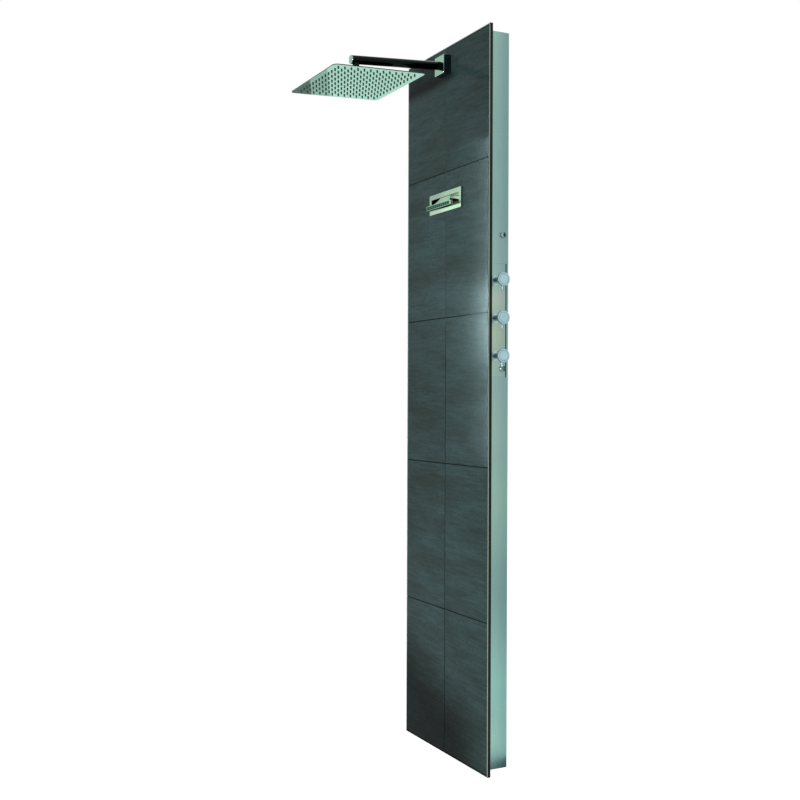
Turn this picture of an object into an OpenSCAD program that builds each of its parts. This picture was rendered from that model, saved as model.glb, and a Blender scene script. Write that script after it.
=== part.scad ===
// Tileable shower column: a shallow steel tray that holds wall tiles stands on a
// folded steel casing. The casing hides the valves and pipes and hangs on two wall
// rails. A rain head on an arm, a cascade spout and three side knobs are outside.
//
// Frame: X right, Y into the wall, Z up. The wall is the plane Y = 0. The origin is
// midway between the two screw holes of the upper wall rail. Heights are measured
// from the bottom edge of the panel and are moved to the origin by lift().

/* [Panel] */
// Width of the tiled panel
panel_w = 515; // [460:1:560]
// Height of the tiled panel
panel_h = 2180; // [2100:5:2300]
// Distance from the wall to the tile faces
panel_depth = 75; // [70:1:90]
// Thickness of the steel sheet of tray and casing
sheet_t = 1.5; // [1:0.1:2]
// Width of the tray's doubled rim round the tiles
rim_t = 3; // [2:0.1:5]
// How far the tray stands out past the casing on every side
casing_inset = 16; // [8:1:30]
// Width of the lips folded in at the back of the casing
rear_lip = 15; // [8:1:20]
// Diameter of the rivets that join the tray to the casing
rivet_d = 4; // [3:0.1:5]

/* [Tiles] */
// Height of a whole tile with its joint
tile_pitch = 450; // [430:1:460]
// Distance from the top of the panel down to the highest horizontal joint
top_course = 386; // [350:1:450]
// Width of the joints between tiles
joint_w = 3; // [2:0.1:5]
// Width of the joint between the tiles and the rim
edge_joint = 3; // [2:0.1:6]
// Thickness of a tile
tile_t = 7; // [6:0.1:9]
// Thickness of the adhesive bed behind the tiles
bed_t = 1; // [0.5:0.1:4]
// How far the grout lies below the tile faces
grout_recess = 0.4; // [0.2:0.1:1]

/* [Arm] */
// Distance from the top of the panel down to the arm
arm_drop = 59.5; // [50:0.5:90]
// Angle at which the arm slopes down, in degrees
arm_droop = 4.3; // [0:0.1:6]
// Length of the arm in front of the tiles
arm_reach = 326; // [280:1:400]
// Outer diameter of the arm
arm_d = 26; // [22:0.5:30]
// Wall of the arm tube
arm_wall = 1.5; // [1:0.1:2.5]
// Side of the square wall flange of the arm
flange_w = 57; // [50:1:80]
// Depth of the wall flange of the arm
flange_t = 26; // [16:1:30]
// Thickness of the end cap of the arm
cap_t = 2; // [1:0.5:4]

/* [Rain head] */
// Side of the square rain head
head_w = 300; // [240:5:320]
// Corner radius of the rain head
head_corner = 14; // [6:1:30]
// Thickness of the rain head at its edge
head_edge = 2.6; // [2.4:0.1:5]
// Thickness of the rain head at its middle
head_crown = 9; // [8:0.5:14]
// Thickness of the head's two steel skins
head_skin = 0.9; // [0.6:0.1:1]
// Nozzles along one side of the head
nozzle_rows = 13; // [9:2:13]
// Distance from the edge of the head to the outer nozzles
nozzle_margin = 25.2; // [20:0.1:50]
// Diameter of a nozzle
nozzle_d = 4.8; // [4:0.1:6]
// How far a nozzle stands out of the face
nozzle_out = 3.2; // [1:0.1:4]
// Tilt of the head forward, in degrees
head_pitch = 3.3; // [0:0.1:6]
// Tilt of the head to its right side, in degrees
head_roll = -1.5; // [-3:0.1:3]
// Turn of the head on its nut, in degrees
head_yaw = 3; // [-6:0.5:6]

/* [Ball joint] */
// Distance from the end of the arm back to the ball stem
stem_back = 16.4; // [14:0.1:30]
// Diameter of the ball stem at the arm
stem_d = 20; // [16:0.5:22]
// Distance from the middle of the arm down to the ball
ball_below = 41.5; // [40:0.5:48]
// Diameter of the ball
ball_d = 22; // [20:0.5:24]
// Diameter of the neck above the ball
neck_d = 12; // [10:0.5:12]
// Distance from the ball down to the face of the head
ball_to_face = 28.4; // [28:0.1:34]
// Wall of the plastic ball seat
seat_wall = 1.6; // [1.2:0.1:1.8]
// Outer diameter of the swivel nut
nut_d = 32; // [31:0.5:36]

/* [Cascade] */
// Distance from the top of the panel down to the middle of the plate
cascade_drop = 477; // [430:1:540]
// Width of the cascade plate
plate_w = 198; // [190:1:220]
// Height of the cascade plate
plate_h = 62; // [60:1:76]
// Thickness of the cascade plate
plate_t = 4.5; // [3:0.5:6]
// Distance from the side of the plate to the slot
slot_side = 12.5; // [11:0.5:20]
// Height of the slot in the cascade plate
slot_h = 33; // [30:1:36]
// Distance from the top of the plate down to the slot
slot_drop = 15; // [12:1:15]
// Width of the pouring lip
lip_w = 151.5; // [120:0.5:156]
// Height of the pouring lip
lip_h = 14; // [10:0.5:16]
// Distance of the lip's front from the plate
lip_reach = 25; // [20:1:40]
// Width of the duct that feeds the lip
duct_w = 63; // [40:1:90]
// Height of the duct that feeds the lip
duct_h = 10; // [8:0.5:12]
// Wall of the spout
spout_wall = 1.5; // [1:0.1:2]
// Cells along each row of the flow strip in the lip
strip_holes = 12; // [12:1:26]

/* [Side controls] */
// Height of the top knob
knob_top_h = 1438; // [1420:1:1460]
// Distance from one knob down to the next
knob_pitch = 110; // [96:1:120]
// Distance of the knobs behind the tile faces
knob_set = 29; // [28:0.5:32]
// Diameter of a knob
knob_d = 40; // [36:1:46]
// Thickness of a knob's disc
knob_t = 5; // [4:0.5:7]
// Distance from the casing to the knob's face
knob_out = 49; // [44:1:60]
// Diameter of the valve sleeve behind the knob
sleeve_d = 20; // [18:0.5:24]
// Distance from the knob's axis to the tip of its pin
pin_reach = 33.5; // [28:0.5:40]
// Diameter of the lever pin
pin_d = 6; // [5:0.5:7]
// Diameter of the valve spindle
spindle_d = 8; // [6:0.5:9]
// Diameter of a valve body
valve_d = 30; // [28:0.5:34]
// Length of a valve body
valve_l = 44; // [40:1:48]
// Distance from the top knob up to the hand shower holder stub
holder_above = 134; // [90:1:180]
// Diameter of the holder stub
holder_d = 17; // [14:0.5:18]
// Distance from the bottom knob down to the hose outlet
outlet_below = 36; // [32:1:60]
// Diameter of the hose outlet thread
outlet_d = 16.66; // [13:0.01:18]
// How far the two stubs stand out of the casing
stub_out = 6; // [4:0.5:12]
// Distance from the wall to the control plate
control_gap = 10.5; // [5:0.5:12]
// Distance from the casing's front sheet to the control plate
control_front = 3; // [2:0.5:4]
// Width of the seam behind the control plate
control_seam = 1.2; // [0.2:0.1:2]
// Distance from the rear edge of the control plate to the two stubs
stub_in = 9.5; // [9:0.5:14]
// How far the control plate reaches above the top knob
control_above = 50; // [20:1:76]
// How far the control plate reaches below the hose outlet
control_below = 24; // [14:1:60]

/* [Plumbing] */
// Outer diameter of the copper pipes
pipe_d = 12; // [8:0.5:12]
// Wall of the copper pipes
pipe_wall = 1; // [0.8:0.1:1.5]
// Distance from the hose outlet down to the hot and cold inlets
inlet_drop = 140; // [110:1:200]
// Distance between the hot and the cold inlet
inlet_gap = 150; // [120:1:200]
// Outer diameter of the inlet threads
inlet_d = 20.955; // [16:0.005:22]
// Distance from the manifold to the arm pipe
arm_pipe_out = 16.5; // [12:0.5:30]
// Distance from the arm pipe to the cascade pipe
pipe_gap = 22; // [16:1:30]

/* [Wall rails] */
// Distance from the top of the panel down to the upper rail
upper_rail_drop = 230; // [200:1:300]
// Height of the lower rail
lower_rail_h = 230; // [150:1:400]
// Length of a wall rail
rail_l = 300; // [270:5:420]
// Distance between the two screw holes of a rail
rail_holes = 240; // [160:5:240]
// Diameter of a rail's screw holes
rail_hole_d = 6.5; // [4:0.5:8]
// Thickness of the rails and hangers
rail_t = 3; // [2:0.5:3]

/* [Hidden] */
$fn = 48;
tile_rows = 5;
valve_names = ["hot", "cold", "diverter"];

// Clearances: between fixed pieces, in a running fit and between moving pieces
fit = 0.2;
run = 0.05;
free = 0.3;

// Depths, from the tile faces to the wall
face_y = -panel_depth;
tray_depth = tile_t + bed_t + sheet_t;
tray_y = face_y + tray_depth;
inner_y = tray_y + sheet_t;
knob_y = face_y + knob_set;
stub_y = -control_gap - stub_in;
tile_back_y = face_y + tile_t;
bed_back_y = tray_y - sheet_t;

// Casing
casing_w = panel_w - 2 * casing_inset;
side_x = casing_w / 2;
inner_x = side_x - sheet_t;
casing_top = panel_h - casing_inset;
upper_rail_h = panel_h - upper_rail_drop;

// Tiles
tray_in_x = panel_w / 2 - rim_t;
tile_w = tray_in_x - edge_joint - joint_w / 2;
top_joint_h = panel_h - top_course;
function joint_h(row) = row == 0 ? rim_t + edge_joint - joint_w / 2
    : row == tile_rows ? panel_h - rim_t - edge_joint + joint_w / 2
    : top_joint_h - (tile_rows - 1 - row) * tile_pitch;

// Arm and head
arm_h = panel_h - arm_drop;
arm_hole_d = arm_d + 6;
stem_at = arm_reach - stem_back;
ball_y = face_y - stem_at * cos(arm_droop) + ball_below * sin(arm_droop);
ball_h = arm_h - stem_at * sin(arm_droop) - ball_below * cos(arm_droop);
socket_w = arm_d + 18;
socket_l = 30;
nozzle_pitch = (head_w - 2 * nozzle_margin) / (nozzle_rows - 1);

// Cascade
cascade_h = panel_h - cascade_drop;
slot_w = plate_w - 2 * slot_side;
slot_top = cascade_h + plate_h / 2 - slot_drop;
slot_bottom = slot_top - slot_h;
body_w = slot_w + 9;
body_h = slot_h + 9;
body_l = 36;
cutout_w = body_w + 2;
cutout_h = body_h + 2;
slot_mid = (slot_top + slot_bottom) / 2;
duct_top = slot_top - 1;
plate_front_y = face_y - plate_t;
lip_top = slot_top - 24;
lip_y = plate_front_y - lip_reach;
lip_l = 10;
boss_w = 24;
boss_y = face_y + body_l;
boss_l = 22;

// Valves
knob_heights = [for (i = [0:len(valve_names) - 1]) knob_top_h - i * knob_pitch];
holder_h = knob_heights[0] + holder_above;
outlet_h = knob_heights[2] - outlet_below;
inlet_h = outlet_h - inlet_drop;
bracket_t = 2;
bracket_x = inner_x - bracket_t;
bracket_over = 38;
valve_x = bracket_x - valve_l;
valve_bore_d = sleeve_d - 0.8;
cartridge_l = valve_l - 12;
knob_face_x = side_x + knob_out;
hub_d = sleeve_d;
hub_back_x = knob_face_x - knob_t - 13.5;
pin_x = knob_face_x - knob_t - pin_d / 2 - 0.5;
sleeve_end_x = hub_back_x - free;
control_bottom = outlet_h - control_below;
control_top = knob_heights[0] + control_above;
control_front_y = inner_y + control_front;
plate_hole_d = valve_bore_d + 2 * fit;
elbow_w = pipe_d + 6;
hand_block = pipe_d + 2.4;
hand_port_x = bracket_x - hand_block / 2;
cold_pipe_x = bracket_x - hand_block - pipe_d / 2 - 1.1;
cold_pipe_y = knob_y + valve_d / 2 + pipe_d / 2 + 0.5;
hot_pipe_x = cold_pipe_x - pipe_d - 3;
hot_pipe_y = cold_pipe_y + pipe_d + 1;

// How much wider a threaded nipple's collar is than its thread
collar = 1;

// Manifold and pipes
manifold_w = 26;
manifold_x = valve_x - manifold_w;
manifold_end = 24;
arm_pipe_x = manifold_x - arm_pipe_out;
cascade_pipe_x = arm_pipe_x - pipe_gap;
arm_port_h = knob_heights[2] + 32;
cascade_port_h = knob_heights[2];
inlet_block = 22;
inlet_back_y = cold_pipe_y + inlet_block / 2;
inlet_bar_t = 2;
inlet_bar_h = 40;

// Profile of rails and hangers, measured from the height of the screw holes
rail_hook = 10;
rail_foot = 20;
rail_shelf = 17;
rail_tip = 34;
hanger_foot = 25;

module lift(h) { translate([0, 0, h - upper_rail_h]) children(); }

module block(from, to) { translate(from) cube(to - from); }

// A square-cornered window of width w and height h through everything, at height mid
module window(w, h, mid, from_y, to_y) {
    block([-w / 2, from_y, mid - h / 2], [w / 2, to_y, mid + h / 2]);
}

module rod(from, to, d) {
    run_v = to - from;
    length = norm(run_v);
    turn = atan2(run_v[1], run_v[0]);
    lean = acos(run_v[2] / length);
    translate(from) rotate([0, lean, turn]) cylinder(h = length, d = d);
}

// Cylinders along X and along Y
module along_x(x, y, h, length, d) {
    translate([x, y, h]) rotate([0, 90, 0]) cylinder(h = length, d = d);
}

module along_y(x, y, h, length, d) {
    translate([x, y, h]) rotate([-90, 0, 0]) cylinder(h = length, d = d);
}

function unit(v) = v / norm(v);

// The path with both ends drawn out a little, for a bore that opens at both ends
function drawn_out(path, by) = [
    for (i = [0:len(path) - 1])
        i == 0 ? path[0] - by * unit(path[1] - path[0])
        : i == len(path) - 1 ? path[i] + by * unit(path[i] - path[i - 1])
        : path[i]
];

module solid_run(path, d) {
    for (i = [0:len(path) - 2]) rod(path[i], path[i + 1], d);
    for (i = [1:len(path) - 2]) translate(path[i]) sphere(d = d);
}

module pipe(path) {
    color("#b87346") difference() {
        solid_run(path, pipe_d);
        solid_run(drawn_out(path, 1), pipe_d - 2 * pipe_wall);
    }
}

// The arm's own frame: Z runs out along the arm from the plane of the tile faces
module on_arm() {
    lift(arm_h) translate([0, face_y, 0]) rotate([90 + arm_droop, 0, 0]) children();
}

// The ball's centre, untilted, and the head's frame with Z = 0 on the spray face
module at_ball() { lift(ball_h) translate([0, ball_y, 0]) children(); }

module tilted() { rotate([head_pitch, 0, 0]) rotate([0, head_roll, 0]) children(); }

module on_head() {
    at_ball() tilted() rotate([0, 0, head_yaw]) translate([0, 0, -ball_to_face]) children();
}

module rounded_square(w, r, h) {
    linear_extrude(height = h) offset(r = r, $fn = 32) square(w - 2 * r, center = true);
}

// Openings through the tiles, the tray and the casing for the arm and the cascade
module front_cutouts(from_y, to_y) {
    along_y(0, from_y, arm_h, to_y - from_y, arm_hole_d);
    window(cutout_w, cutout_h, slot_mid, from_y, to_y);
}

rivet_x = side_x - 30;
rivet_rows = 5;
rivet_margin = 110;
function rivet_h(i) = rivet_margin + i * (panel_h - 2 * rivet_margin) / (rivet_rows - 1);

module rivet_places() {
    for (side = [-1, 1]) for (i = [0:rivet_rows - 1])
        translate([side * rivet_x, 0, rivet_h(i)]) children();
}

// Holes for the sleeves and the two stubs; the holder's lies above the control plate
module control_holes() {
    for (h = knob_heights) along_x(bracket_x - 1, knob_y, h, 10, plate_hole_d);
    along_x(bracket_x - 1, stub_y, holder_h, 10, holder_d / 2 + 2 * fit);
    along_x(bracket_x - 1, stub_y, outlet_h, 10, outlet_d + collar + 2 * fit);
}

module casing_front() {
    color("#94aea7") lift(0) difference() {
        block([-side_x, tray_y, casing_inset], [side_x, inner_y, casing_top]);
        front_cutouts(tray_y - 1, inner_y + 1);
        rivet_places() along_y(0, tray_y - 1, 0, sheet_t + 2, rivet_d + 2 * fit);
    }
}

// The side walls of the casing; the right one is cut out for the control plate
module casing_sides() {
    color("#94aea7") lift(0) difference() {
        for (x = [-side_x, inner_x])
            block([x, inner_y, casing_inset], [x + sheet_t, 0, casing_top]);
        block([inner_x - 1, control_front_y - fit, control_bottom - fit],
              [side_x + 1, -control_gap + control_seam, control_top + fit]);
        control_holes();
    }
}

module casing_ends() {
    color("#94aea7") lift(0) for (h = [casing_inset, casing_top - sheet_t])
        block([-inner_x, inner_y, h], [inner_x, 0, h + sheet_t]);
}

// Lips turned in round the open back of the casing, with a slit at each corner
module rear_lips() {
    lip_w_in = rear_lip - sheet_t;
    lip_x = inner_x - lip_w_in;
    low = casing_inset + sheet_t;
    high = casing_top - sheet_t;
    color("#94aea7") lift(0) {
        for (x = [-inner_x, lip_x])
            block([x, -sheet_t, low], [x + lip_w_in, 0, high]);
        for (h = [low, high - lip_w_in])
            block([-lip_x + free, -sheet_t, h], [lip_x - free, 0, h + lip_w_in]);
    }
}

module tray_back() {
    color("#3a3733") lift(0) difference() {
        block([-tray_in_x, bed_back_y, rim_t], [tray_in_x, tray_y, panel_h - rim_t]);
        front_cutouts(bed_back_y - 1, tray_y + 1);
        rivet_places() along_y(0, bed_back_y - 1, 0, sheet_t + 2, rivet_d + 2 * fit);
    }
}

module tray_sides() {
    color("#3a3733") lift(0) for (x = [-panel_w / 2, tray_in_x])
        block([x, face_y, 0], [x + rim_t, tray_y, panel_h]);
}

module tray_ends() {
    color("#3a3733") lift(0) for (h = [0, panel_h - rim_t])
        block([-tray_in_x, face_y, h], [tray_in_x, tray_y, h + rim_t]);
}

module tray_rivets() {
    color("#b9bec0") lift(0) rivet_places() {
        along_y(0, bed_back_y, 0, 2 * sheet_t + 1, rivet_d);
        along_y(0, inner_y, 0, 2, 2 * rivet_d);
    }
}

module tile_bed() {
    color("#8d8a84") lift(0) difference() {
        block([-tray_in_x, tile_back_y, rim_t], [tray_in_x, bed_back_y, panel_h - rim_t]);
        front_cutouts(tile_back_y - 1, bed_back_y + 1);
    }
}

// One tile: side is -1 or 1 and rows count up from the bottom
module tile(side, row) {
    low = joint_h(row - 1) + joint_w / 2;
    high = joint_h(row) - joint_w / 2;
    near = side < 0 ? -tile_w - joint_w / 2 : joint_w / 2;
    color("#3d4a4a") lift(0) difference() {
        block([near, face_y, low], [near + tile_w, tile_back_y, high]);
        front_cutouts(face_y - 1, tile_back_y + 1);
    }
}

// Grout fills the tray's front layer wherever no tile lies
module grout() {
    color("#23292a") lift(0) difference() {
        block([-tray_in_x, face_y + grout_recess, rim_t],
              [tray_in_x, tile_back_y, panel_h - rim_t]);
        for (side = [-1, 1]) for (row = [1:tile_rows]) {
            low = joint_h(row - 1) + joint_w / 2;
            high = joint_h(row) - joint_w / 2;
            near = side < 0 ? -tile_w - joint_w / 2 : joint_w / 2;
            block([near, face_y - 1, low], [near + tile_w, tile_back_y + 1, high]);
        }
        front_cutouts(face_y - 1, tile_back_y + 1);
    }
}

module control_plate() {
    color("#9ab3ac") lift(0) difference() {
        block([inner_x, control_front_y, control_bottom],
              [side_x, -control_gap, control_top]);
        control_holes();
    }
}

module valve_bracket() {
    color("#a7adad") lift(0) difference() {
        block([bracket_x, inner_y + free, control_bottom - 10],
              [inner_x, -sheet_t - free, holder_h + bracket_over]);
        control_holes();
    }
}

// Wall rail: a screwed plate with a shelf and a lip that stands off the wall
module wall_rail(h) {
    color("#8f9698") lift(h) difference() {
        rotate([90, 0, 90]) translate([0, 0, -rail_l / 2]) linear_extrude(height = rail_l)
            polygon([
                [0, -rail_foot], [0, rail_shelf + rail_t],
                [-rail_hook + rail_t, rail_shelf + rail_t], [-rail_hook + rail_t, rail_tip],
                [-rail_hook, rail_tip], [-rail_hook, rail_shelf],
                [-rail_t, rail_shelf], [-rail_t, -rail_foot]
            ]);
        for (side = [-1, 1])
            along_y(side * rail_holes / 2, -rail_t - 1, 0, rail_t + 2, rail_hole_d);
    }
}

// Hanger: a folded bar across the casing whose lip drops behind the rail's lip
module hanger(h) {
    web_y = -rail_hook - 0.5;
    drop_y = -rail_hook + rail_t + 0.5;
    drop_h = rail_shelf + rail_t + 1;
    color("#7f888a") lift(h) rotate([90, 0, 90]) translate([0, 0, -inner_x])
        linear_extrude(height = 2 * inner_x) polygon([
            [web_y, -hanger_foot], [web_y, rail_tip], [drop_y, rail_tip], [drop_y, drop_h],
            [drop_y + rail_t, drop_h], [drop_y + rail_t, rail_tip + rail_t],
            [web_y - rail_t, rail_tip + rail_t], [web_y - rail_t, -hanger_foot]
        ]);
}

module wall_rails() {
    wall_rail(upper_rail_h);
    wall_rail(lower_rail_h);
}

module hangers() {
    hanger(upper_rail_h);
    hanger(lower_rail_h);
}

module inlet_bar() {
    color("#7f888a") lift(inlet_h) difference() {
        block([-inner_x, inlet_back_y, -inlet_bar_h / 2],
              [inner_x, inlet_back_y + inlet_bar_t, inlet_bar_h / 2]);
        for (side = [-1, 1])
            along_y(side * inlet_gap / 2, inlet_back_y - 1, 0, 4, inlet_d + collar + 2 * fit);
    }
}

// Valve body: an open brass cup along X, with an elbow on its wall side for the
// supply pipe where there is one
module valve_body(h, elbow_x, elbow_y) {
    color("#c8a45c") lift(h) difference() {
        union() {
            along_x(valve_x, knob_y, 0, valve_l, valve_d);
            if (elbow_x) {
                along_y(elbow_x, knob_y, 0, elbow_y - knob_y, pipe_d + 2);
                block([elbow_x - elbow_w / 2, elbow_y - elbow_w / 2, -elbow_w / 2],
                      [elbow_x + elbow_w / 2, elbow_y + elbow_w / 2, elbow_w / 2]);
            } else {
                translate([hand_port_x, knob_y, -valve_d / 2 - 5])
                    cylinder(h = valve_d / 2, d = pipe_d + 2);
            }
        }
        along_x(valve_x + 4, knob_y, 0, valve_l, valve_bore_d + 2 * run);
        along_x(valve_x - 1, knob_y, 0, 8, pipe_d - 2);
        if (elbow_x) {
            along_y(elbow_x, knob_y, 0, elbow_y - knob_y, pipe_d - 2);
            translate([elbow_x, elbow_y, -elbow_w]) cylinder(h = elbow_w, d = pipe_d - 2);
        } else {
            translate([hand_port_x, knob_y, -valve_d]) cylinder(h = valve_d, d = pipe_d - 2);
        }
    }
}

module valve_bodies() {
    valve_body(knob_heights[0], hot_pipe_x, hot_pipe_y);
    valve_body(knob_heights[1], cold_pipe_x, cold_pipe_y);
    valve_body(knob_heights[2], false, false);
}

module cartridges() {
    color("#d9d9d2") lift(0) for (h = knob_heights) difference() {
        along_x(valve_x + 4.2, knob_y, h, cartridge_l, valve_bore_d);
        along_x(valve_x + 12, knob_y, h, cartridge_l, spindle_d + 2 * run);
    }
}

// Sleeve: screws into the valve body through the plate and shows as the knob's neck
module valve_sleeves() {
    tail_x = valve_x + 4.2 + cartridge_l + fit;
    color("#8b979b") lift(0) for (h = knob_heights) difference() {
        union() {
            along_x(tail_x, knob_y, h, side_x - tail_x, valve_bore_d);
            along_x(side_x, knob_y, h, sleeve_end_x - side_x, sleeve_d);
            along_x(side_x, knob_y, h, 2.5, sleeve_d + 6);
        }
        along_x(tail_x - 1, knob_y, h, sleeve_end_x - tail_x + 2, spindle_d + 1.2);
    }
}

module spindle(h) {
    start_x = valve_x + 13;
    color("#b9bec0") lift(h)
        along_x(start_x, knob_y, 0, knob_face_x - knob_t - start_x, spindle_d);
}

// Knob: a thin round disc on a hub, bored for the spindle and for the lever pin
module knob(h) {
    hub_l = knob_face_x - knob_t - hub_back_x;
    color("#c9dbe2") lift(h) difference() {
        translate([hub_back_x, knob_y, 0]) rotate([0, 90, 0]) {
            cylinder(h = hub_l, d = hub_d);
            translate([0, 0, hub_l]) rotate_extrude($fn = 64) polygon([
                [0, 0], [knob_d / 2 - 1.5, 0], [knob_d / 2, 1.5],
                [knob_d / 2, knob_t - 1.2], [knob_d / 2 - 1.2, knob_t], [0, knob_t]
            ]);
        }
        along_x(hub_back_x - 1, knob_y, 0, hub_l + 1, spindle_d + 2 * run);
        translate([pin_x, knob_y, -hub_d]) cylinder(h = hub_d, d = pin_d + 2 * run);
    }
}

// Lever pin: from the hub's bore to a rounded tip, pointing down at rest
module lever_pin(h) {
    from_r = spindle_d / 2 + 1;
    color("#dbe7e6") lift(h) translate([pin_x, knob_y, -pin_reach]) {
        translate([0, 0, pin_d / 2]) sphere(d = pin_d);
        translate([0, 0, pin_d / 2]) cylinder(h = pin_reach - pin_d / 2 - from_r, d = pin_d);
    }
}

// Manifold: a square brass bar behind the valve bodies with one long gallery
module manifold() {
    low = knob_heights[2] - manifold_end;
    high = knob_heights[0] + manifold_end;
    mid_x = manifold_x + manifold_w / 2;
    color("#b8924a") lift(0) difference() {
        block([manifold_x, knob_y - manifold_w / 2, low],
              [valve_x, knob_y + manifold_w / 2, high]);
        translate([mid_x, knob_y, low + 5]) cylinder(h = high - low - 10, d = pipe_d + 2);
        for (h = knob_heights) along_x(mid_x, knob_y, h, manifold_w, pipe_d - 2);
        for (h = [arm_port_h, cascade_port_h])
            along_x(manifold_x - 1, knob_y, h, manifold_w / 2, pipe_d - 2);
    }
}

// Inlet: a brass elbow block with a threaded nipple that points at the wall
module inlet(side) {
    x = side * inlet_gap / 2;
    half = inlet_block / 2;
    color("#c8a45c") lift(inlet_h) difference() {
        union() {
            block([x - half, cold_pipe_y - half, -half], [x + half, cold_pipe_y + half, half]);
            along_y(x, inlet_back_y, 0, inlet_bar_t, inlet_d + collar);
            along_y(x, inlet_back_y, 0, -1 - inlet_back_y, inlet_d);
        }
        along_y(x, cold_pipe_y, 0, -cold_pipe_y + 1, pipe_d);
        translate([x, cold_pipe_y, 0]) cylinder(h = inlet_block, d = pipe_d - 2);
    }
}

module inlets() {
    for (side = [-1, 1]) inlet(side);
}

module hot_pipe() {
    turn_h = inlet_h + 68;
    x = -inlet_gap / 2;
    lift(0) pipe([
        [hot_pipe_x, hot_pipe_y, knob_heights[0] - elbow_w / 2],
        [hot_pipe_x, hot_pipe_y, turn_h],
        [x, hot_pipe_y, turn_h],
        [x, cold_pipe_y, turn_h],
        [x, cold_pipe_y, inlet_h + inlet_block / 2]
    ]);
}

module cold_pipe() {
    turn_h = inlet_h + 43;
    x = inlet_gap / 2;
    lift(0) pipe([
        [cold_pipe_x, cold_pipe_y, knob_heights[1] - elbow_w / 2],
        [cold_pipe_x, cold_pipe_y, turn_h],
        [x, cold_pipe_y, turn_h],
        [x, cold_pipe_y, inlet_h + inlet_block / 2]
    ]);
}

module arm_feed() {
    lift(0) pipe([
        [manifold_x, knob_y, arm_port_h],
        [arm_pipe_x, knob_y, arm_port_h],
        [arm_pipe_x, knob_y, arm_h],
        [socket_w / 2, knob_y, arm_h]
    ]);
}

module cascade_feed() {
    back_y = boss_y + boss_l / 2;
    turn_h = slot_bottom - 30;
    lift(0) pipe([
        [manifold_x, knob_y, cascade_port_h],
        [cascade_pipe_x, knob_y, cascade_port_h],
        [cascade_pipe_x, knob_y, turn_h],
        [cascade_pipe_x, back_y, turn_h],
        [cascade_pipe_x, back_y, duct_top - duct_h / 2],
        [boss_w / 2, back_y, duct_top - duct_h / 2]
    ]);
}

module hand_feed() {
    x = hand_port_x;
    lift(0) pipe([
        [x, knob_y, knob_heights[2] - valve_d / 2 - 5],
        [x, knob_y, outlet_h],
        [x, stub_y - 10, outlet_h]
    ]);
}

// Hose outlet: a block behind the bracket and a threaded nose through the plate
module hose_outlet() {
    color("#9aa3a3") lift(outlet_h) difference() {
        union() {
            block([hand_port_x - hand_block / 2, stub_y - 10, -10], [bracket_x, stub_y + 10, 10]);
            along_x(bracket_x, stub_y, 0, side_x - bracket_x, outlet_d + collar);
            along_x(side_x, stub_y, 0, stub_out, outlet_d);
        }
        along_x(hand_port_x - 4, stub_y, 0, 60, outlet_d - 5);
        along_y(hand_port_x, stub_y - 11, 0, 11, pipe_d - 2);
    }
}

// Holder stub: a low domed button whose stem screws into the bracket
module holder_stub() {
    color("#9fb3b0") lift(holder_h) difference() {
        union() {
            along_x(bracket_x - 6, stub_y, 0, side_x - bracket_x + 6, holder_d / 2);
            translate([side_x, stub_y, 0]) rotate([0, 90, 0]) rotate_extrude($fn = 64) polygon([
                [0, 0], [holder_d / 2, 0], [holder_d / 2, stub_out - 3],
                [holder_d / 2 - 1, stub_out - 1.2], [holder_d / 2 - 3, stub_out], [0, stub_out]
            ]);
        }
        along_x(side_x + stub_out - 5, stub_y, 0, 6, 5);
    }
}

// Arm flange: a square box, open at the back, with a hole for the sloping arm
module arm_flange() {
    color("#a9bfba") difference() {
        lift(arm_h - flange_t * tan(arm_droop) / 2) difference() {
            block([-flange_w / 2, face_y - flange_t, -flange_w / 2],
                  [flange_w / 2, face_y, flange_w / 2]);
            block([-flange_w / 2 + 2, face_y - flange_t + 2, -flange_w / 2 + 2],
                  [flange_w / 2 - 2, face_y + 1, flange_w / 2 - 2]);
        }
        on_arm() translate([0, 0, -10]) cylinder(h = flange_t + 20, d = arm_d + 2 * fit);
    }
}

arm_root = -tray_depth - sheet_t - 14;
module shower_arm() {
    stem_hole = stem_d + 2 * fit;
    color("#7d918d") on_arm() difference() {
        translate([0, 0, arm_root]) cylinder(h = arm_reach - cap_t - arm_root, d = arm_d);
        translate([0, 0, arm_root - 1])
            cylinder(h = arm_reach - arm_root + 2, d = arm_d - 2 * arm_wall);
        translate([0, 0, stem_at]) rotate([90, 0, 0]) cylinder(h = arm_d, d = stem_hole);
    }
}

module arm_end_cap() {
    color("#b4c9c3") on_arm() {
        translate([0, 0, arm_reach - cap_t]) cylinder(h = cap_t, d = arm_d);
        translate([0, 0, arm_reach - cap_t - 3.5])
            cylinder(h = 3.6, d = arm_d - 2 * arm_wall - 2 * run);
    }
}

// Arm socket: a brass block inside the casing that the arm's root seats in
module arm_socket() {
    half = socket_w / 2;
    color("#c8a45c") difference() {
        lift(arm_h) difference() {
            block([-half, inner_y, -half], [half, inner_y + socket_l, half]);
            along_x(0, knob_y, 0, half + 1, pipe_d - 2);
        }
        on_arm() translate([0, 0, arm_root]) cylinder(h = 60, d = arm_d + 2 * run);
        on_arm() translate([0, 0, arm_root - 6]) cylinder(h = 10, d = pipe_d + 4);
    }
}

module cascade_plate() {
    color("#aac4b4") lift(cascade_h) difference() {
        block([-plate_w / 2, plate_front_y, -plate_h / 2], [plate_w / 2, face_y, plate_h / 2]);
        window(slot_w, slot_h, slot_mid - cascade_h, plate_front_y - 1, face_y + 1);
    }
}

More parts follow.
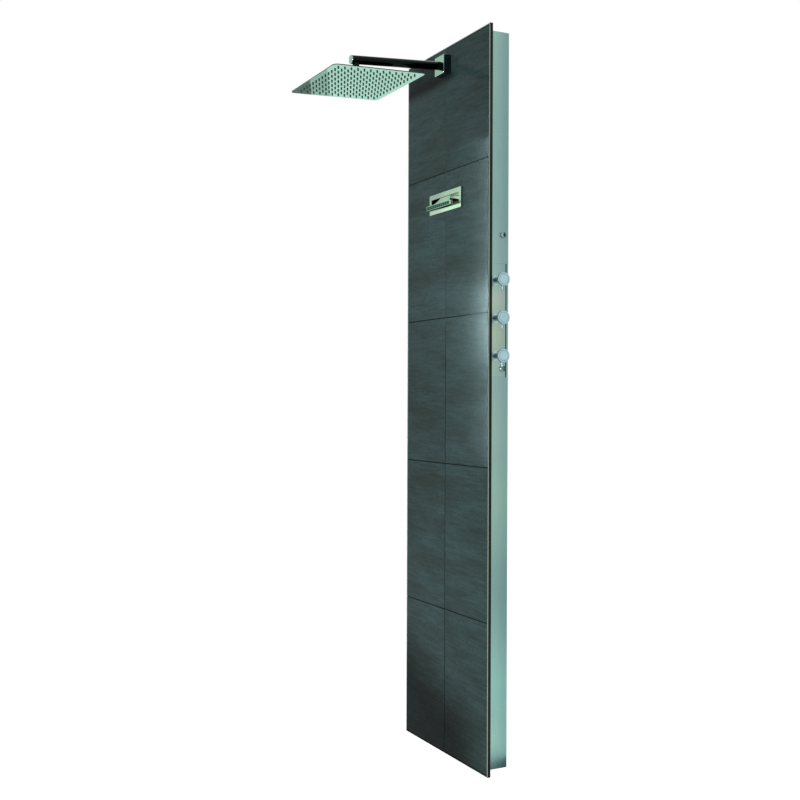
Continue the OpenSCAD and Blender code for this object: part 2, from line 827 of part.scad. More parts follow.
// Cascade body: an open box behind the plate with a feed boss on its back
module cascade_body() {
    wall = 1.5;
    half = boss_w / 2;
    feed_h = duct_top - duct_h / 2;
    color("#5b6360") lift(0) difference() {
        union() {
            window(body_w, body_h, slot_mid, face_y, boss_y);
            block([-half, boss_y, feed_h - 11], [half, boss_y + boss_l, feed_h + 11]);
        }
        window(body_w - 2 * wall, body_h - 2 * wall, slot_mid, face_y - 1, boss_y - wall);
        along_x(0, boss_y + boss_l / 2, feed_h, half + 1, pipe_d - 2);
        along_y(0, boss_y - 3, feed_h, boss_l / 2 + 3, duct_h - 3);
    }
}

// Thin upright bars whose hull is one stage of the spout
module duct_end(y, w, top, h) {
    block([-w / 2, y - 0.5, top - h], [w / 2, y + 0.5, top]);
}

module lip_outline(grow) {
    r = 3 - grow / 2;
    w = lip_w - 2 * grow;
    for (side = [-1, 1]) translate([side * (w / 2 - r), lip_y + grow + r, 0])
        cylinder(h = lip_h - 2 * grow, r = r, $fn = 32);
}

// Cascade spout: a flat duct through the slot that fans out and falls to a wide lip
module cascade_spout() {
    w = spout_wall;
    back_y = boss_y - 1.5;
    color("#9dbcae") lift(0) difference() {
        union() {
            block([-duct_w / 2, plate_front_y, duct_top - duct_h],
                  [duct_w / 2, back_y, duct_top]);
            hull() {
                duct_end(plate_front_y + 0.5, duct_w, duct_top, duct_h);
                translate([0, 0, lip_top - lip_h]) lip_outline(0);
                duct_end(lip_y + lip_l, lip_w, lip_top, lip_h);
            }
        }
        block([-duct_w / 2 + w, plate_front_y - 1, duct_top - duct_h + w],
              [duct_w / 2 - w, back_y + 1, duct_top - w]);
        hull() {
            duct_end(plate_front_y, duct_w - 2 * w, duct_top - w, duct_h - 2 * w);
            duct_end(lip_y + lip_l, lip_w - 2 * w - 2, lip_top - w, lip_h - 2 * w);
        }
        block([-lip_w / 2 + w + 1, lip_y - 1, lip_top - lip_h + w],
              [lip_w / 2 - w - 1, lip_y + lip_l + 0.5, lip_top - w]);
    }
}

// Flow strip: a perforated bar set into the lip's mouth
module flow_strip() {
    inner_w = lip_w - 2 * spout_wall - 2;
    inner_h = lip_h - 2 * spout_wall;
    pitch = inner_w / strip_holes;
    rib = min(pitch * 0.28, 3.4);
    hole = inner_h / 2 - 2.2;
    color("#41605a") lift(lip_top - lip_h / 2) difference() {
        block([-inner_w / 2, lip_y + 1.5, -inner_h / 2], [inner_w / 2, lip_y + 5, inner_h / 2]);
        for (i = [0:strip_holes - 1]) for (row = [-1, 1])
            block([(i - strip_holes / 2) * pitch + rib / 2, lip_y, row * inner_h / 4 - hole / 2],
                  [(i + 1 - strip_holes / 2) * pitch - rib / 2, lip_y + 8,
                   row * inner_h / 4 + hole / 2]);
    }
}

module ball_stem() {
    top = arm_d / 2 - arm_wall - 2.5;
    shoulder = ball_below - ball_d / 2 - 4;
    color("#87949a") on_arm() translate([0, 0, stem_at]) rotate([90, 0, 0]) difference() {
        union() {
            translate([0, 0, top]) cylinder(h = shoulder - top, d = stem_d);
            translate([0, 0, shoulder - 0.1]) cylinder(h = ball_d / 2, d = neck_d);
            translate([0, 0, ball_below]) sphere(d = ball_d, $fn = 64);
        }
        translate([0, 0, top - 1]) cylinder(h = ball_below + ball_d, d = neck_d - 5);
    }
}

seat_r = ball_d / 2 + free;
seat_out_r = seat_r + seat_wall;
socket_r = seat_out_r + free;

// Ball seat: a plastic ring between two spheres about the ball
module ball_seat() {
    band = 14;
    color("#d8d8d2") at_ball() tilted() difference() {
        intersection() {
            sphere(r = seat_out_r, $fn = 64);
            cube([4 * seat_out_r, 4 * seat_out_r, band], center = true);
        }
        sphere(r = seat_r, $fn = 64);
    }
}

nut_top = 9;
nut_bottom = 16;
boss_d = 20;
boss_gap = 12;

// Swivel nut: holds the ball seat from above and the head's inlet boss from below
module swivel_nut() {
    color("#8b989d") at_ball() tilted() difference() {
        translate([0, 0, -nut_bottom]) cylinder(h = nut_top + nut_bottom, d = nut_d);
        sphere(r = socket_r, $fn = 64);
        translate([0, 0, -nut_bottom - 1]) cylinder(h = nut_bottom, d = boss_d + 2 * run);
    }
}

module head_shell(w, edge_low, edge_high, crown_low, crown_high, crown_w) {
    hull() {
        translate([0, 0, edge_low]) rounded_square(w, head_corner, edge_high - edge_low);
        translate([0, 0, crown_low]) rounded_square(crown_w, head_corner, crown_high - crown_low);
    }
}

// Head top: a thin shell, raised at the middle, with the inlet boss on it
module head_top() {
    crown_w = head_w * 0.36;
    top_h = ball_to_face - boss_gap;
    inner_w = head_w - 4;
    color("#8fb5a4") on_head() difference() {
        union() {
            head_shell(head_w, head_skin, head_edge, head_edge, head_crown, crown_w);
            translate([0, 0, head_crown - 0.5]) cylinder(h = top_h - head_crown + 0.5, d = boss_d);
        }
        head_shell(inner_w, head_skin - 0.5, head_edge - head_skin, head_edge - head_skin,
                   head_crown - head_skin, crown_w - 4);
        translate([0, 0, head_edge]) cylinder(h = top_h, d = boss_d - 8);
    }
}

module nozzle_places() {
    for (i = [0:nozzle_rows - 1]) for (j = [0:nozzle_rows - 1])
        translate([(i - (nozzle_rows - 1) / 2) * nozzle_pitch,
                   (j - (nozzle_rows - 1) / 2) * nozzle_pitch, 0]) children();
}

module head_face() {
    color("#93c9b3") on_head() linear_extrude(height = head_skin) difference() {
        offset(r = head_corner, $fn = 32) square(head_w - 2 * head_corner, center = true);
        nozzle_places() circle(d = nozzle_d + 2 * run, $fn = 24);
    }
}

// Nozzle mat: one rubber sheet inside the head whose nozzles stand out of the face
module nozzle_mat() {
    mat_t = 0.7;
    mat_w = (nozzle_rows - 1) * nozzle_pitch + 12;
    color("#2c3a36") on_head() {
        difference() {
            translate([-mat_w / 2, -mat_w / 2, head_skin]) cube([mat_w, mat_w, mat_t]);
            nozzle_places() translate([0, 0, -1]) cylinder(h = 5, d = 1.6, $fn = 16);
        }
        nozzle_places() translate([0, 0, -nozzle_out]) difference() {
            cylinder(h = nozzle_out + head_skin, d = nozzle_d, $fn = 24);
            translate([0, 0, -1]) cylinder(h = nozzle_out + 3, d = 1.6, $fn = 16);
        }
    }
}

casing_front();
casing_sides();
casing_ends();
rear_lips();
tray_back();
tray_sides();
tray_ends();
tray_rivets();
tile_bed();
grout();
for (row = [1:tile_rows]) {
    tile(-1, row);
    tile(1, row);
}
control_plate();
valve_bracket();
wall_rails();
hangers();
inlet_bar();
valve_bodies();
cartridges();
valve_sleeves();
for (i = [0:len(valve_names) - 1]) {
    spindle(knob_heights[i]);
    knob(knob_heights[i]);
    lever_pin(knob_heights[i]);
}
manifold();
inlets();
hot_pipe();
cold_pipe();
arm_feed();  // arm_pipe
cascade_feed();  // cascade_pipe
hand_feed();  // hand_shower_pipe
hose_outlet();
holder_stub();
arm_flange();
shower_arm();
arm_end_cap();
arm_socket();
cascade_plate();
cascade_spout();
flow_strip();
cascade_body();
ball_stem();
ball_seat();
swivel_nut();
head_top();
head_face();
nozzle_mat();
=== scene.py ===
# %% [markdown]
# # A tileable shower column
#
# The column is a shallow steel tray of slate-look tiles on a steel casing, with a rain
# head, a cascade spout and three side knobs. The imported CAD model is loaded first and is
# the frame for everything here. Where a CAD node already has the real shape it only gets
# a finish. Where light runs over edges and curves, a smoother piece takes its place.

# %% Load the frame
import math

import bmesh
import bpy
import numpy as np
from mathutils import Matrix, Vector


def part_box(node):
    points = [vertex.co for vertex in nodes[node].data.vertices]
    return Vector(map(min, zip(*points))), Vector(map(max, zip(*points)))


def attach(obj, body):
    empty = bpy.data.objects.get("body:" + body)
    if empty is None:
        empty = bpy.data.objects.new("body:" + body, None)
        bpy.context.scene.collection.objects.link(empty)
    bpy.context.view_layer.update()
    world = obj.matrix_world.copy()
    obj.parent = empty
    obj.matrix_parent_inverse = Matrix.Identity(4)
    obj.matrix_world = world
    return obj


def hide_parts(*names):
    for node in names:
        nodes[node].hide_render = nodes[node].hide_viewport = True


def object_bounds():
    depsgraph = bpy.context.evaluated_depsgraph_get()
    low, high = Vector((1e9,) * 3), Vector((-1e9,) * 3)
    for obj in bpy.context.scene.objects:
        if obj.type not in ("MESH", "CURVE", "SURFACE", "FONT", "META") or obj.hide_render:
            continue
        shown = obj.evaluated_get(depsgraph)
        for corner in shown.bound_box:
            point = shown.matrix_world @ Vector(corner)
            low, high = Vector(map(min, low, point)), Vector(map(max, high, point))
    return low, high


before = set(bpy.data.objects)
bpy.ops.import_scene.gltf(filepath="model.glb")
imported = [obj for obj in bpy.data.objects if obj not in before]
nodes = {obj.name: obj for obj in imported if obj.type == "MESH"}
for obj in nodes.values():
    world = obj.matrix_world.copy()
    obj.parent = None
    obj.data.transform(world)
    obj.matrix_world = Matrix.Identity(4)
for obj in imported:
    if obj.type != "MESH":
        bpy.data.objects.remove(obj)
cad_box = [list(corner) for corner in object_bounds()]
MM = 0.001  # the frame is in metres, and the shapes below are worked out in millimetres
print("CAD nodes:", len(nodes), "box:", np.round(cad_box, 3).tolist())

# %% [markdown]
# ## Camera
#
# The photograph is a level view from the column's right, so all uprights stay upright.
# A camera can be placed by eye, by matching tools, or by solving for it. It was solved:
# the corners of the panel give its place, and the lens is a plain 50 mm on 36 mm film.
# The picture leans by a fifth of a degree, so the camera is rolled by that angle.

# %% Camera
def new_object(name, data):
    """An object at the origin, linked to the scene."""
    item = bpy.data.objects.new(name, data)
    bpy.context.scene.collection.objects.link(item)
    return item


camera_data = bpy.data.cameras.new("camera")
camera_data.lens = 50
camera_data.sensor_width = 36
camera = new_object("camera", camera_data)
bpy.context.scene.camera = camera

upright = Vector((0, 0, 1))
forward = Vector((-0.8923, 0.4515, 0)).normalized()
lean = 0.0036
right = forward.cross(upright) * math.cos(lean) + upright * math.sin(lean)
up = right.cross(forward)
camera.matrix_world = Matrix((right, up, -forward)).transposed().to_4x4()
camera.location = (3.0003, -1.7504, -0.8606)
print("camera at", tuple(round(v, 3) for v in camera.location))

# %% [markdown]
# ## Colours and nodes
#
# Colours are written as sRGB hex values, as a paint chart gives them, but shaders reckon
# in linear light. One function turns the first into the second. Another adds a node with
# its settings and links, so that a material reads as a short list of steps. Inputs go by
# name or number: Map Range counts value, from low, from high, to low and to high.

# %% Colour and node helpers
def linear(text):
    """sRGB to linear: c / 12.92 below 0.04045, else ((c + 0.055) / 1.055) ** 2.4."""
    value = np.array([int(text[i:i + 2], 16) for i in (0, 2, 4)]) / 255
    low, high = value / 12.92, ((value + 0.055) / 1.055) ** 2.4
    return (*np.where(value < 0.04045, low, high).tolist(), 1.0)


def feed(node, inputs):
    """Gives a node its inputs. A socket is linked, a node is linked by its first output
    that is in use, and anything else is a plain value."""
    for key, value in inputs.items():
        if isinstance(value, bpy.types.Node):
            value = next(socket for socket in value.outputs if socket.enabled)
        if isinstance(value, bpy.types.NodeSocket):
            node.id_data.links.new(value, node.inputs[key])
        else:
            node.inputs[key].default_value = value


def add(tree, kind, inputs=None, **settings):
    """Adds a node of a kind, such as Mix, with its settings and inputs."""
    node = tree.nodes.new("ShaderNode" + kind)
    for key, value in settings.items():
        setattr(node, key, value)
    feed(node, inputs or {})
    return node


def new_finish(name, **shader_values):
    """A material with its shader's plain values set, and the object coordinates."""
    material = bpy.data.materials.new(name)
    material.use_nodes = True
    tree = material.node_tree
    shader = tree.nodes["Principled BSDF"]
    feed(shader, {key.replace("_", " "): value for key, value in shader_values.items()})
    where = add(tree, "TexCoord").outputs["Object"]
    return material, tree, shader, where


print("mid grey 808080 is", round(linear("808080")[0], 3), "in linear light")

# %% [markdown]
# ## Studio
#
# The product is shown cut out on white. The white could come from very bright lamps, but
# those would bleach the object. Instead the world shows white to the camera and to
# reflections and lights the object more softly, and the floor glows a little for the
# same rays, so that it is white and still darkens where the object shades it.

# %% World
def background_rays(tree):
    """1 for the rays that show the background, else 0: the largest of the three kinds."""
    rays = add(tree, "LightPath").outputs
    seen = add(tree, "Math", {0: rays["Is Camera Ray"], 1: rays["Is Glossy Ray"]},
               operation="MAXIMUM")
    return add(tree, "Math", {0: seen, 1: rays["Is Transmission Ray"]}, operation="MAXIMUM")


WHITE = (1, 1, 1, 1)
ROOM_LIGHT = 0.14
world = bpy.data.worlds.new("studio")
bpy.context.scene.world = world
world.use_nodes = True
tree = world.node_tree
tree.nodes.clear()
soft = add(tree, "Background", {"Color": linear("f2f8f6"), "Strength": ROOM_LIGHT})
white = add(tree, "Background", {"Color": WHITE, "Strength": 1.0})
mixed = add(tree, "MixShader", {0: background_rays(tree), 1: soft, 2: white})
add(tree, "OutputWorld", {"Surface": mixed})
bpy.context.scene.view_settings.view_transform = "Standard"
print("world ready, with room light", ROOM_LIGHT)

# %% Floor
def flat_sheet(name, corners, paper):
    """One flat quad as an object, for the floor and the cards."""
    mesh = bpy.data.meshes.new(name)
    mesh.from_pydata(corners, [], [(0, 1, 2, 3)])
    mesh.materials.append(paper)
    return new_object(name, mesh)


FLOOR_REACH, FLOOR_DROP, FLOOR_GLOW = 14.0, 0.45, 0.9
floor_z = cad_box[0][2] - FLOOR_DROP
paper, tree, shader, _ = new_finish("studio_paper", Roughness=0.9, Emission_Color=WHITE,
                                    Base_Color=linear("f4f4f4"))
glow = add(tree, "Math", {0: background_rays(tree), 1: FLOOR_GLOW}, operation="MULTIPLY")
feed(shader, {"Emission Strength": glow})
floor = flat_sheet("floor", [(x * FLOOR_REACH, y * FLOOR_REACH, floor_z)
                             for x, y in [(-1, -1), (1, -1), (1, 1), (-1, 1)]], paper)
print("floor at", round(floor_z, 3))

# %% [markdown]
# ## Lamps
#
# The key is a round lamp in front and to the right. Its beam could be narrowed to leave the
# lower left corner of the tiles in shade, but a dark flag in front of it gives a straighter
# edge. A second, weaker beam lifts the tiles just above it. Two upright soft boxes far to
# the left are there for their reflections alone: the tiles mirror them at a flat angle
# along their right edge. A long box above and behind draws one light line along the arm.

# %% Lamps
def place_lamp(data, place, target, power, colour="ffffff"):
    """Puts a lamp at a place, turned so that it faces its target."""
    data.energy = power
    data.color = linear(colour)[:3]
    lamp = new_object(data.name, data)
    lamp.location = place
    aim = Vector(target) - Vector(place)
    lamp.rotation_euler = aim.to_track_quat("-Z", "Y").to_euler()
    return lamp


def soft_box(name, place, target, width, height, radiance, colour="ffffff"):
    """A rectangular area lamp. Its power is its radiance times pi times its area."""
    data = bpy.data.lights.new(name, "AREA")
    data.shape = "RECTANGLE"
    data.size, data.size_y = width, height
    return place_lamp(data, place, target, radiance * math.pi * width * height, colour)


def beam(name, place, target, radius, angle, blend, power):
    """A round lamp with a soft-edged beam."""
    data = bpy.data.lights.new(name, "SPOT")
    data.shadow_soft_size, data.spot_blend = radius, blend
    data.spot_size = math.radians(angle)
    return place_lamp(data, place, target, power)


KEY_PLACE = (2.4, -4.4, -0.9)
beam("key", KEY_PLACE, (0, 0, -0.9), radius=0.4, angle=50, blend=0.3, power=860)
beam("patch", KEY_PLACE, (-0.02, -0.075, -1.6), radius=0.3, angle=12, blend=1, power=240)
# The two upright boxes light the tiles alone, as flags would make them do in a studio
tiles = bpy.data.collections.new("tiles")
for name in nodes:
    if name.startswith("tile_"):
        tiles.objects.link(bpy.data.objects[name])
for name, middle, height, radiance in [("sheen", -0.36, 0.5, 176),
                                       ("sheen_tail", -0.2, 2.1, 70)]:
    sheen = soft_box(name, (-3.0, -2.18, middle), (0.25, 0, -0.57), width=0.1,
                     height=height, radiance=radiance, colour="d4fbff")
    sheen.visible_diffuse = False
    sheen.light_linking.receiver_collection = tiles
soft_box("overhead", (0.3, 1.1, 2.4), (0.2, -0.2, 0.2), width=5.6, height=0.6, radiance=0.7)

# %% [markdown]
# ## Cards
#
# Polished metal shows nothing but its surroundings, so a studio stands cards round it. The
# dark and the grey card give the head's face its two tones, the white one lights its near
# side, two small ones brighten the foot of the cascade's plate and the top of its slot,
# and a dim one stands behind the casing's foot, to its right. Only reflections see them.
# The flag is the reverse: it is black and only casts a shadow.

# %% Cards
def card(name, x, y, foot, top, brightness):
    """An upright card that only reflections see: white to brighten one, grey to dull one.
    x, y and top are pairs, a value for each side edge, so the top may slope."""
    corners = [(x[0], y[0], foot), (x[1], y[1], foot), (x[1], y[1], top[1]),
               (x[0], y[0], top[0])]
    paper = new_finish(name + "_paper", Roughness=0.9, Base_Color=(0, 0, 0, 1),
                       Emission_Color=WHITE, Emission_Strength=brightness)[0]
    piece = flat_sheet(name, corners, paper)
    piece.visible_camera = piece.visible_diffuse = False
    piece.visible_transmission = piece.visible_shadow = False
    return piece


card("white_card", (-0.3, 0.15), (-0.165, -0.165), -0.06, (0.076, 0.076), 1.0)
card("dark_card", (-3, -3), (-0.4, 0.82), -1.3, (0, 0), 0.22)
card("grey_card", (-3, -3), (0.82, 0.94), -1.3, (0, 0), 0.66)
card("plate_card", (-0.1, 0.1), (-0.0835, -0.0835), -0.2785, (-0.265, -0.265), 1.45)
card("slot_card", (-0.03, 0.087), (-0.046, -0.046), -0.246, (-0.229, -0.229), 1.3)
card("foot_card", (0.25, 0.45), (0.02, 0.02), -2.3, (-1.906, -2.0), 0.22)
flag = card("flag", (-0.055, 0.642), (-0.975, -0.975), -2.484, (-1.369, -1.636), 0)
flag.visible_glossy, flag.visible_shadow = False, True

# %% [markdown]
# ## Surfaces from numbers
#
# Sheet metal, turned parts and mouldings are all swept shapes, so no piece here starts
# from a ready-made solid. A shape is a grid of points, worked out as whole arrays, whose
# neighbours are joined by quads. Where a grid closes on itself or shrinks to a pole,
# points that fall together are merged, and the faces are then turned outwards.

# %% Grid helpers
def quads(rows, columns, close_rows, close_columns):
    """Corner numbers of the quads between neighbours of a grid of rows times columns."""
    row = np.arange(rows if close_rows else rows - 1)
    column = np.arange(columns if close_columns else columns - 1)
    row, column = np.meshgrid(row, column, indexing="ij")
    below, beside = (row + 1) % rows, (column + 1) % columns
    corners = (row * columns + column, row * columns + beside,
               below * columns + beside, below * columns + column)
    return np.stack(corners, axis=-1).reshape(-1, 4)


def patch(grid, close_rows=False, close_columns=True, kind=0, keep=None):
    """A grid in mm, how it closes, each quad's finish number and which quads to keep."""
    grid = np.asarray(grid, float)
    faces = quads(*grid.shape[:2], close_rows, close_columns)
    middle = grid.reshape(-1, 3)[faces].mean(axis=1)
    kinds = kind(middle) if callable(kind) else np.full(len(faces), kind)
    kept = keep(middle) if keep else np.ones(len(faces), bool)
    return grid.reshape(-1, 3), faces[kept], np.asarray(kinds, int)[kept]


def above(limit, high=1, low=0):
    """Finish numbers of quads: high where the sweep's height is over the limit, else low."""
    return lambda middle: np.where(middle[:, 2] > limit, high, low)


MERGE = 2e-6  # points closer than this, in metres, fall together


def make_piece(name, patches, finishes, body="column", replaces=(), crease=32,
               place=None, wall=0):
    """One mesh piece of several patches, merged, turned outwards and smoothed. An open
    sheet gets its wall inwards, in mm."""
    starts = np.cumsum([0] + [len(points) for points, _, _ in patches])
    points = np.concatenate([points for points, _, _ in patches]) * MM
    faces = np.concatenate([f + s for (_, f, _), s in zip(patches, starts)])
    kinds = np.concatenate([kind for _, _, kind in patches])
    if place is not None:
        points = points @ np.array(place.to_3x3()).T + np.array(place.translation)
    mesh = bpy.data.meshes.new(name)
    mesh.from_pydata(points.tolist(), [], faces.tolist())
    for finish in finishes:
        mesh.materials.append(finish)
    mesh.polygons.foreach_set("material_index", kinds.astype(np.int32))
    shape = bmesh.new()
    shape.from_mesh(mesh)
    bmesh.ops.remove_doubles(shape, verts=shape.verts, dist=MERGE)
    bmesh.ops.recalc_face_normals(shape, faces=shape.faces)
    shape.to_mesh(mesh)
    shape.free()
    piece = new_object(name, mesh)
    if wall:
        sheet = piece.modifiers.new("sheet", "SOLIDIFY")
        sheet.thickness, sheet.offset, sheet.use_even_offset = wall * MM, -1, True
        sheet.material_offset_rim = len(finishes) - 1
        view = bpy.context.evaluated_depsgraph_get()
        mesh = bpy.data.meshes.new_from_object(piece.evaluated_get(view))
        piece.modifiers.clear()
        piece.data = mesh
    mesh.shade_smooth()
    mesh.set_sharp_from_angle(angle=math.radians(crease))
    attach(piece, body)
    if replaces:
        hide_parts(*replaces)
    print(f"{name}: {len(mesh.polygons)} faces on {body}")
    return piece


# %% Profiles and loops
def eased(corners, radii, steps=4):
    """A polyline with round corners. A corner with a radius becomes a quadratic curve from
    that far before it to that far behind it, with a support point a fifth further on."""
    corners = np.asarray(corners, float)
    share = np.linspace(0, 1, steps + 1)[:, None]
    path = [corners[:1]]
    for before, corner, after, radius in zip(corners, corners[1:], corners[2:], radii):
        if radius == 0:
            path.append(corner[None])
            continue
        inward = (before - corner) / np.linalg.norm(before - corner)
        outward = (after - corner) / np.linalg.norm(after - corner)
        start, end = corner + radius * inward, corner + radius * outward
        curve = (1 - share) ** 2 * start + 2 * share * (1 - share) * corner + share ** 2 * end
        path += [(start + 0.2 * radius * inward)[None], curve,
                 (end + 0.2 * radius * outward)[None]]
    return np.concatenate(path + [corners[-1:]])


def rounded_loop(half_w, half_h, radius, steps=5):
    """A loop round a rectangle: corner centres plus radius times (cos, sin), and a support
    point on the side next to each end of a corner. Every size has as many points."""
    turn = np.radians(np.arange(4)[:, None] * 90 + np.linspace(0, 90, steps + 1))
    unit = np.stack([np.cos(turn), np.sin(turn)], axis=-1)
    sign = np.sign(unit.mean(axis=1, keepdims=True))
    corner = sign * [half_w - radius, half_h - radius] + radius * unit
    along = np.stack([-np.sin(turn), np.cos(turn)], axis=-1)
    support = 0.3 * radius + 0.1
    loop = np.concatenate([corner[:, :1] - support * along[:, :1], corner,
                           corner[:, -1:] + support * along[:, -1:]], axis=1)
    return loop.reshape(-1, 2)


def round_loop(radius, like):
    """A circle whose points lie at the same angles as those of another loop."""
    turn = np.arctan2(like[:, 1], like[:, 0])
    return radius * np.stack([np.cos(turn), np.sin(turn)], axis=-1)


def stacked(rows):
    """Loops in a plane, each with its own height: the grid of a swept shape."""
    return np.stack([np.column_stack([loop, np.full(len(loop), height)])
                     for loop, height in rows])


def framed(half_w, half_h, radius, profile):
    """A profile of (outward, height) carried round a rectangle with round corners."""
    return stacked([(rounded_loop(half_w + out, half_h + out, max(radius + out, 0.04)),
                     height) for out, height in profile])


def turned(profile, count=64):
    """A profile of (radius, height) turned about Z: (r cos t, r sin t, height)."""
    turn = np.linspace(0, 2 * np.pi, count, endpoint=False)
    radius, height = np.asarray(profile, float).T
    return np.stack([radius[:, None] * np.cos(turn), radius[:, None] * np.sin(turn),
                     np.broadcast_to(height[:, None], (len(radius), count))], axis=-1)


def facing(axis_z, axis_x, place):
    """The frame of a swept piece: its Z and X axes and its origin, in mm."""
    z, x = Vector(axis_z).normalized(), Vector(axis_x).normalized()
    matrix = Matrix((x, z.cross(x), z)).transposed().to_4x4()
    matrix.translation = Vector(place) * MM
    return matrix


UPPER_RAIL = 1950  # heights are counted from the tray's foot, and the CAD's from here


def to_room(height):
    """The frame of a sweep from the wall into the room, with X to the column's right."""
    return facing((0, -1, 0), (1, 0, 0), (0, 0, height - UPPER_RAIL))


def to_right(y, height):
    """The frame of a sweep from the column's middle plane to its right-hand side."""
    return facing((1, 0, 0), (0, 1, 0), (0, y, height - UPPER_RAIL))


print("axes of a sweep into the room:", np.round(np.array(to_room(0))[:3, :3]).tolist())

# %% [markdown]
# ## Sheet steel
#
# The casing is folded from stainless sheet that was brushed along its length before it
# was bent. Brushing leaves fine lines, and a few hand marks and a change of tone from
# batch to batch stay on top. Noise that is drawn out along the brushing gives the lines
# and their relief, and a broad noise gives the cloudy tone. The same recipe with other
# scales serves for every bare metal here.

# %% Metal recipe
def metal(name, colour, other, roughness, strokes, cloud=5.0, tone=0.06, relief=0.2):
    """Bare metal between two colours. Strokes is a noise scale per metre, one or three,
    cloud that of the broad tone, and tone and relief are how deep the strokes are."""
    material, tree, shader, where = new_finish(name, Metallic=1.0, Roughness=roughness)
    scale = [float(number) for number in np.broadcast_to(strokes, 3)]
    drawn = add(tree, "Mapping", {"Vector": where, "Scale": scale})
    lines = add(tree, "TexNoise", {"Vector": drawn, "Scale": 1.0, "Detail": 5.0,
                                   "Roughness": 0.65})
    broad = add(tree, "TexNoise", {"Vector": where, "Scale": cloud, "Detail": 3.0})
    shift = add(tree, "MapRange", {0: broad, 1: 0.35, 2: 0.65})
    base = add(tree, "Mix", {0: shift, 6: linear(colour), 7: linear(other)}, data_type="RGBA")
    stroke = add(tree, "MapRange", {0: lines, 1: 0.25, 2: 0.75, 3: 1 - tone, 4: 1 + tone})
    base = add(tree, "Mix", {0: 1.0, 6: base, 7: stroke}, data_type="RGBA", blend_type="MULTIPLY")
    worn = add(tree, "MapRange", {0: lines, 1: 0.2, 2: 0.8, 3: roughness * 1.25,
                                  4: roughness * 0.75})
    bump = add(tree, "Bump", {"Strength": relief, "Distance": 0.0002, "Height": lines})
    feed(shader, {"Base Color": base, "Roughness": worn, "Normal": bump})
    return material


def set_stops(ramp, stops):
    """Gives a colour ramp its stops of (position, linear colour)."""
    while len(ramp.elements) < len(stops):
        ramp.elements.new(0.5)
    for element, (position, colour) in zip(ramp.elements, stops):
        element.position, element.color = position, colour


def opened(material):
    """A finish's tree, shader, present base colour and object coordinates by axis."""
    tree = material.node_tree
    shader = tree.nodes["Principled BSDF"]
    before = shader.inputs["Base Color"].links[0].from_socket
    where = add(tree, "TexCoord").outputs["Object"]
    return tree, shader, before, add(tree, "SeparateXYZ", {0: where}).outputs


def shade_along(material, axis, stops):
    """Multiplies a finish's colour by tones at places, in mm, along one axis."""
    tree, shader, before, split = opened(material)
    first, last = stops[0][0], stops[-1][0]
    share = add(tree, "MapRange", {0: split[axis], 1: first * MM, 2: last * MM})
    tones = add(tree, "ValToRGB", {0: share})
    tones.color_ramp.interpolation = "EASE"
    set_stops(tones.color_ramp, [((place - first) / (last - first), (*tone, 1.0))
                                 for place, tone in stops])
    mixed = add(tree, "Mix", {0: 1.0, 6: before, 7: tones}, data_type="RGBA",
                blend_type="MULTIPLY")
    feed(shader, {"Base Color": mixed})


print("metal recipe ready")

# %% Steels
BRUSHED = (900, 900, 14)
LIT, SHADOW = (1, 1, 1), (0.1, 0.08, 0.06)
# Painted shade: the sides of the casing and the control plate darken towards the wall
SIDE_SHADE = [(-52, LIT), (-3, (0.78, 0.8, 0.84))]
# Brushed stainless: lines 0.3 to 0.5 mm apart and centimetres long draw its glare out, and
# its tones up the column are painted reflections of the room, darkest and bluest at the foot
casing_steel = metal("brushed_casing_steel", "93b5ad", "9ac8b3", 0.3, BRUSHED, cloud=2.0)
shade_along(casing_steel, "Y", SIDE_SHADE)
shade_along(casing_steel, "Z", [(-1950, (0.51, 0.62, 0.75)), (-1850, (0.9, 0.95, 0.97)),
                                (-1700, (0.88, 1, 1)), (-1440, (0.67, 0.71, 0.76)),
                                (-1140, (0.9, 0.92, 0.87)), (-860, (0.91, 0.87, 0.91)),
                                (-600, (0.95, 0.85, 0.93)), (-240, (0.76, 0.74, 0.84)),
                                (230, (0.84, 0.84, 0.87))])
# The control plate's bands up its height are painted shade and painted reflections of the knobs
# and sleeves
control_steel = metal("brushed_control_steel", "a8bcaf", "9fbeb1", 0.18, BRUSHED, cloud=6.0)
shade_along(control_steel, "Y", SIDE_SHADE)
shade_along(control_steel, "Z", [(-792, (0.76, 0.88, 0.89)), (-735, (0.8, 0.86, 0.87)),
                                 (-675, (0.93, 0.92, 0.86)), (-622, (0.85, 0.88, 0.86)),
                                 (-567, (1, 0.95, 0.95)), (-512, (0.8, 0.86, 0.87)),
                                 (-462, (0.7, 0.82, 0.89))])
# The tray's steel is painted near black, a painted reflection of a dark room, and a ground edge
# shines like satin
tray_steel = metal("dark_tray_steel", "24241f", "2c2c26", 0.42, (500, 500, 20))
rim_steel = metal("satin_rim_steel", "8aa098", "93aaa1", 0.35, (500, 500, 30))
# Buffed stainless blurs what it mirrors, and inside the slot it is painted dark as shade
plate_steel = metal("polished_plate_steel", "aacdaf", "a0c3a5", 0.3, (40, 40, 500), cloud=9.0,
                    tone=0.02, relief=0.03)
# Painted shade: the plate and its spout darken towards the left
shade_along(plate_steel, "X", [(-45, (0.78, 0.73, 0.78)), (20, LIT)])
recess_steel = metal("shaded_recess_steel", "98b29c", "8ea892", 0.3, 300)
# Painted shade: the slot is dark low down and to the left, and left light at the top and right
shade_along(recess_steel, "Z", [(-243.5, SHADOW), (-240.5, LIT)])
shade_along(recess_steel, "X", [(-32, SHADOW), (-28, LIT)])
# Mirror-polished stainless shows its nozzles and the room
head_steel = metal("polished_head_steel", "88cab3", "82c2ab", 0.03, (30, 400, 30), cloud=4.0,
                   tone=0.015, relief=0.02)
# Zinc plating is blotchy and grey
zinc_steel = metal("zinc_plated_steel", "a2a9aa", "b7bcba", 0.42, 120, cloud=30.0, tone=0.1)
print("steels:", sum("steel" in item.name for item in bpy.data.materials))
